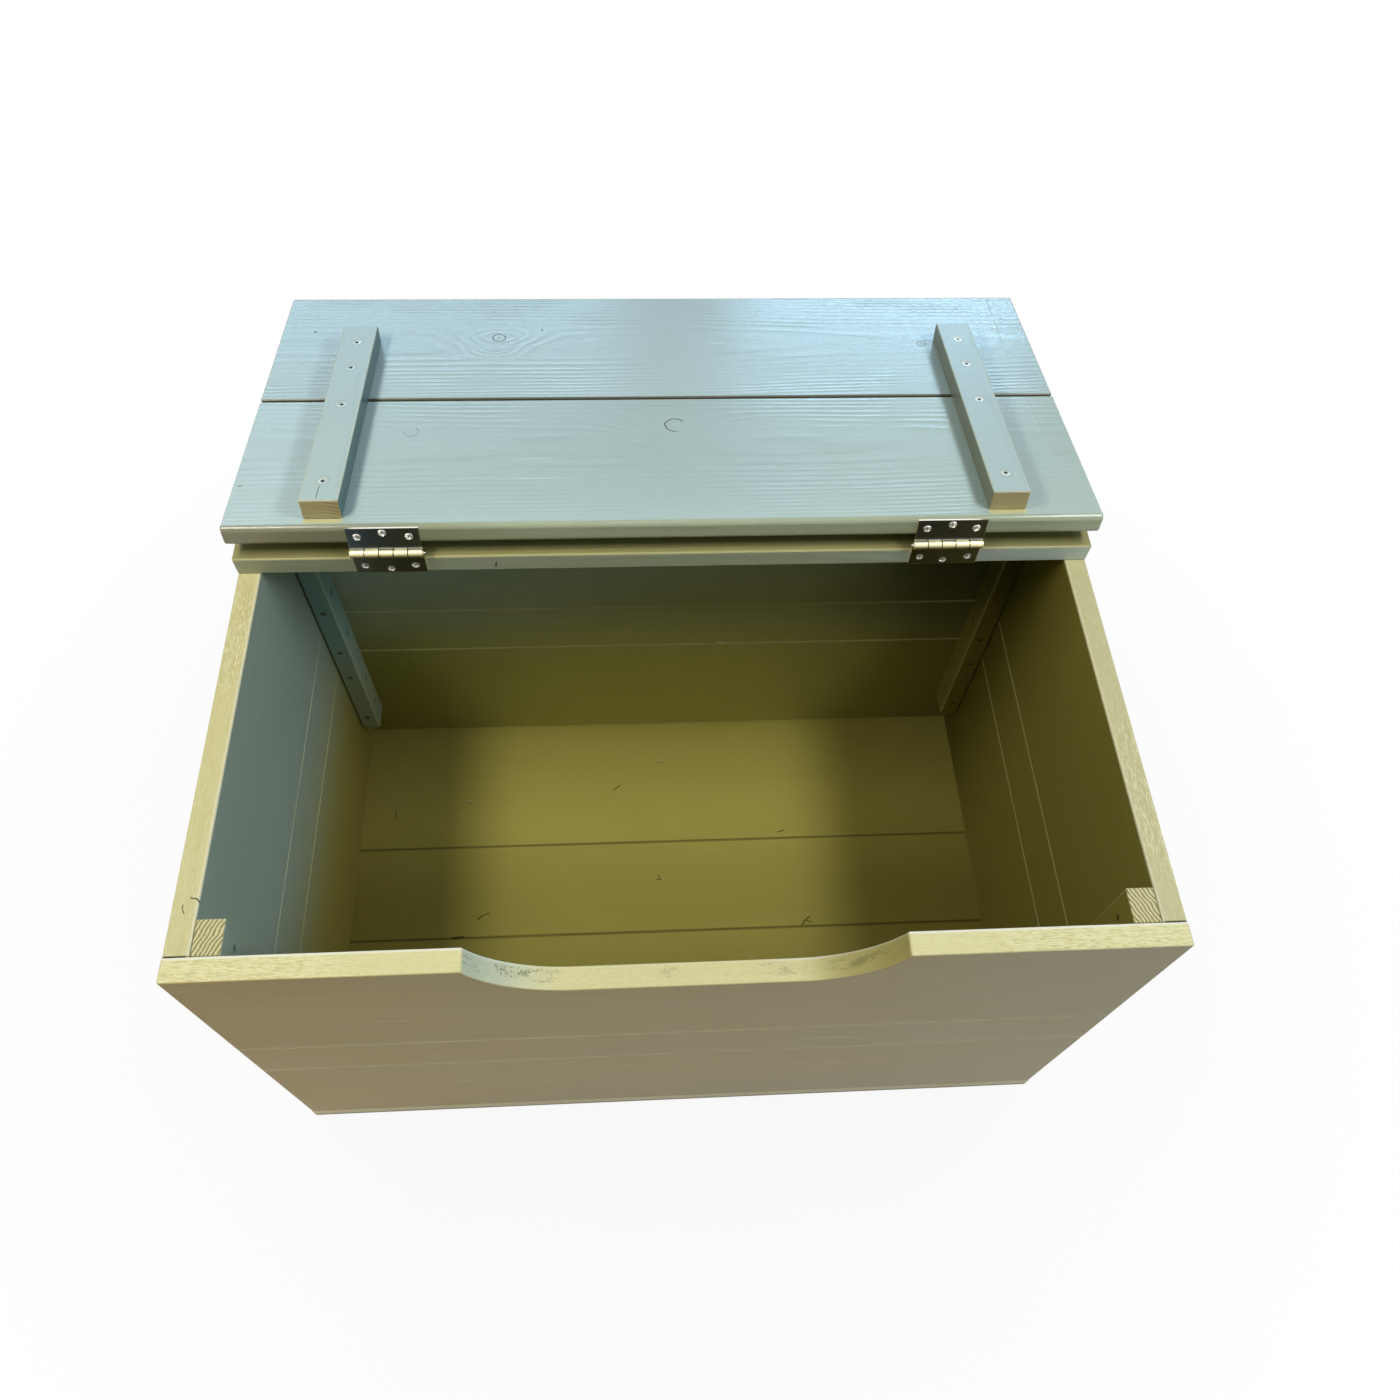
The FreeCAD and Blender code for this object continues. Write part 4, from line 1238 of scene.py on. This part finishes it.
WHITE = (1.0, 1.0, 1.0, 1.0)
MATT_WHITE = (0.92, 0.92, 0.92, 1.0)
WARM_FLOOR = (0.66, 0.62, 0.48, 1.0)
WARM_FLOOR_DARK = (0.62, 0.58, 0.44, 1.0)
GLOW = 0.92
DUST_WAVES = 3.0
SHADOW_MIDDLE = 0.1
SHADOW_FADE = (0.5, 1.0)
GROUND_WIDE = 30.0
GROUND_BELOW = 0.2 * MM


def pale_floor():
    """White to the eye with the box's shadow on it, and warm and pale in the light that it throws back."""
    finish = new_finish("pale_floor")
    dust = finish.speckle(finish.place(), DUST_WAVES, 3.0)
    warm = finish.blend(dust + 0.5, WARM_FLOOR, WARM_FLOOR_DARK)
    thrown = finish.node("ShaderNodeBsdfDiffuse", None, {"Color": warm})
    matt = finish.node("ShaderNodeBsdfDiffuse", None, {"Color": MATT_WHITE})
    glow = finish.node("ShaderNodeEmission", None, {"Color": WHITE, "Strength": 1.0})
    place = finish.place()
    away = span(place.dot(ACROSS), place.dot(DEEP) - SHADOW_MIDDLE)
    share = away.step(*SHADOW_FADE) * (1 - GLOW) + GLOW
    seen = finish.node("ShaderNodeMixShader", None, {0: share, 1: matt, 2: glow})
    return finish.show(finish.node("ShaderNodeMixShader", None, {0: finish.eye_rays(), 1: thrown, 2: seen}))


bpy.ops.mesh.primitive_plane_add(size=GROUND_WIDE, location=(0, 0, -GROUND_BELOW))
ground = bpy.context.object
ground.name = "floor"
ground.data.materials.append(pale_floor())


def soft_light(name, place, target, size, watts, colour, spread=180.0):
    """A lamp that shines from a rectangle, turned to its target. Its spread is in degrees."""
    lamp = bpy.data.lights.new(name, "AREA")
    lamp.shape = "RECTANGLE"
    lamp.size, lamp.size_y = size
    lamp.energy = watts
    lamp.color = colour
    lamp.spread = math.radians(spread)
    stand = bpy.data.objects.new(name, lamp)
    stand.location = place
    stand.rotation_euler = (Vector(target) - Vector(place)).to_track_quat("-Z", "Y").to_euler()
    stand.visible_camera = False
    bpy.context.scene.collection.objects.link(stand)


WARM = (1.0, 0.96, 0.86)
WARM_OVER = (1.0, 0.98, 0.86)
WARM_FILL = (1.0, 0.80, 0.50)
NEUTRAL = (1.0, 0.97, 0.92)
DAY = (0.96, 0.98, 1.0)
DAY_FILL = (0.90, 0.96, 1.0)
SKY = (0.42, 0.72, 1.0)
WINDOW = (0.66, 0.84, 1.0)
BOX_MIDDLE = (0, -0.06, 0.3)
RIM_MIDDLE = (-0.018, -0.015, 0.48)
# each lamp's place, target, size, watts and colour, and its spread where that is narrow
soft_light("left_lamp", (-0.67, -0.06, 1.4), BOX_MIDDLE, (0.5, 0.16), 7.3, WARM)
soft_light("right_lamp", (0.74, -0.06, 1.4), BOX_MIDDLE, (0.5, 0.16), 7.0, DAY)
soft_light("over_lamp", (-0.018, -0.329, 2.05), RIM_MIDDLE, (0.42, 0.33), 0.088, WARM_OVER, 4.0)
soft_light("right_window", (2.2, -0.6, 1.35), (-0.38, -0.10, 0.36), (0.6, 0.5), 0.32, WINDOW, 22.0)
soft_light("rear_left_window", (-0.66, 2.3, 1.12), (-0.2, 0.4, 0.5), (1.2, 0.4), 10.0, SKY)
soft_light("rear_right_window", (0.68, 2.3, 1.12), (0.2, 0.4, 0.5), (0.8, 0.4), 12.0, SKY)
soft_light("left_fill", (-1.4, -1.6, 0.4), (-0.2, -0.25, 0.25), (0.8, 0.5), 4.6, WARM_FILL)
soft_light("left_low_fill", (-2.0, 0.2, 0.25), (-0.4, 0.0, 0.22), (1.0, 0.3), 12.0, NEUTRAL)
soft_light("right_low_fill", (2.0, 0.2, 0.25), (0.4, 0.0, 0.22), (1.0, 0.3), 7.0, NEUTRAL)
soft_light("right_fill", (1.4, -1.6, 0.5), (0.3, -0.2, 0.3), (0.8, 0.5), 3.4, DAY_FILL)

AIR_FILL = 0.09
AIR_COLOUR = (1.0, 0.99, 0.96, 1.0)
world = bpy.data.worlds.new("studio")
bpy.context.scene.world = world
studio = Finish(world)
fill = studio.node("ShaderNodeBackground", None, {"Color": AIR_COLOUR, "Strength": AIR_FILL})
paper = studio.node("ShaderNodeBackground", None, {"Color": WHITE, "Strength": 1.0})
air = studio.node("ShaderNodeMixShader", None, {0: studio.eye_rays(), 1: fill, 2: paper})
studio.show(air, "ShaderNodeOutputWorld")

# The camera as fitted to the photograph: focus in pixels, place in metres, turn in degrees
PHOTO_WIDE = 1400
FOCUS = 1135.1
SENSOR_WIDE = 36.0
CAMERA_PLACE = (-0.0375, -0.5261, 1.3322)
CAMERA_TURN = (31.155, -2.152, -2.862)
lens = bpy.data.cameras.new("photo_camera")
lens.sensor_fit = "HORIZONTAL"
lens.sensor_width = SENSOR_WIDE
lens.lens = SENSOR_WIDE * FOCUS / PHOTO_WIDE
camera = bpy.data.objects.new("photo_camera", lens)
camera.location = CAMERA_PLACE
camera.rotation_euler = [math.radians(angle) for angle in CAMERA_TURN]
bpy.context.scene.collection.objects.link(camera)
bpy.context.scene.camera = camera
bpy.context.scene.view_settings.view_transform = "Standard"
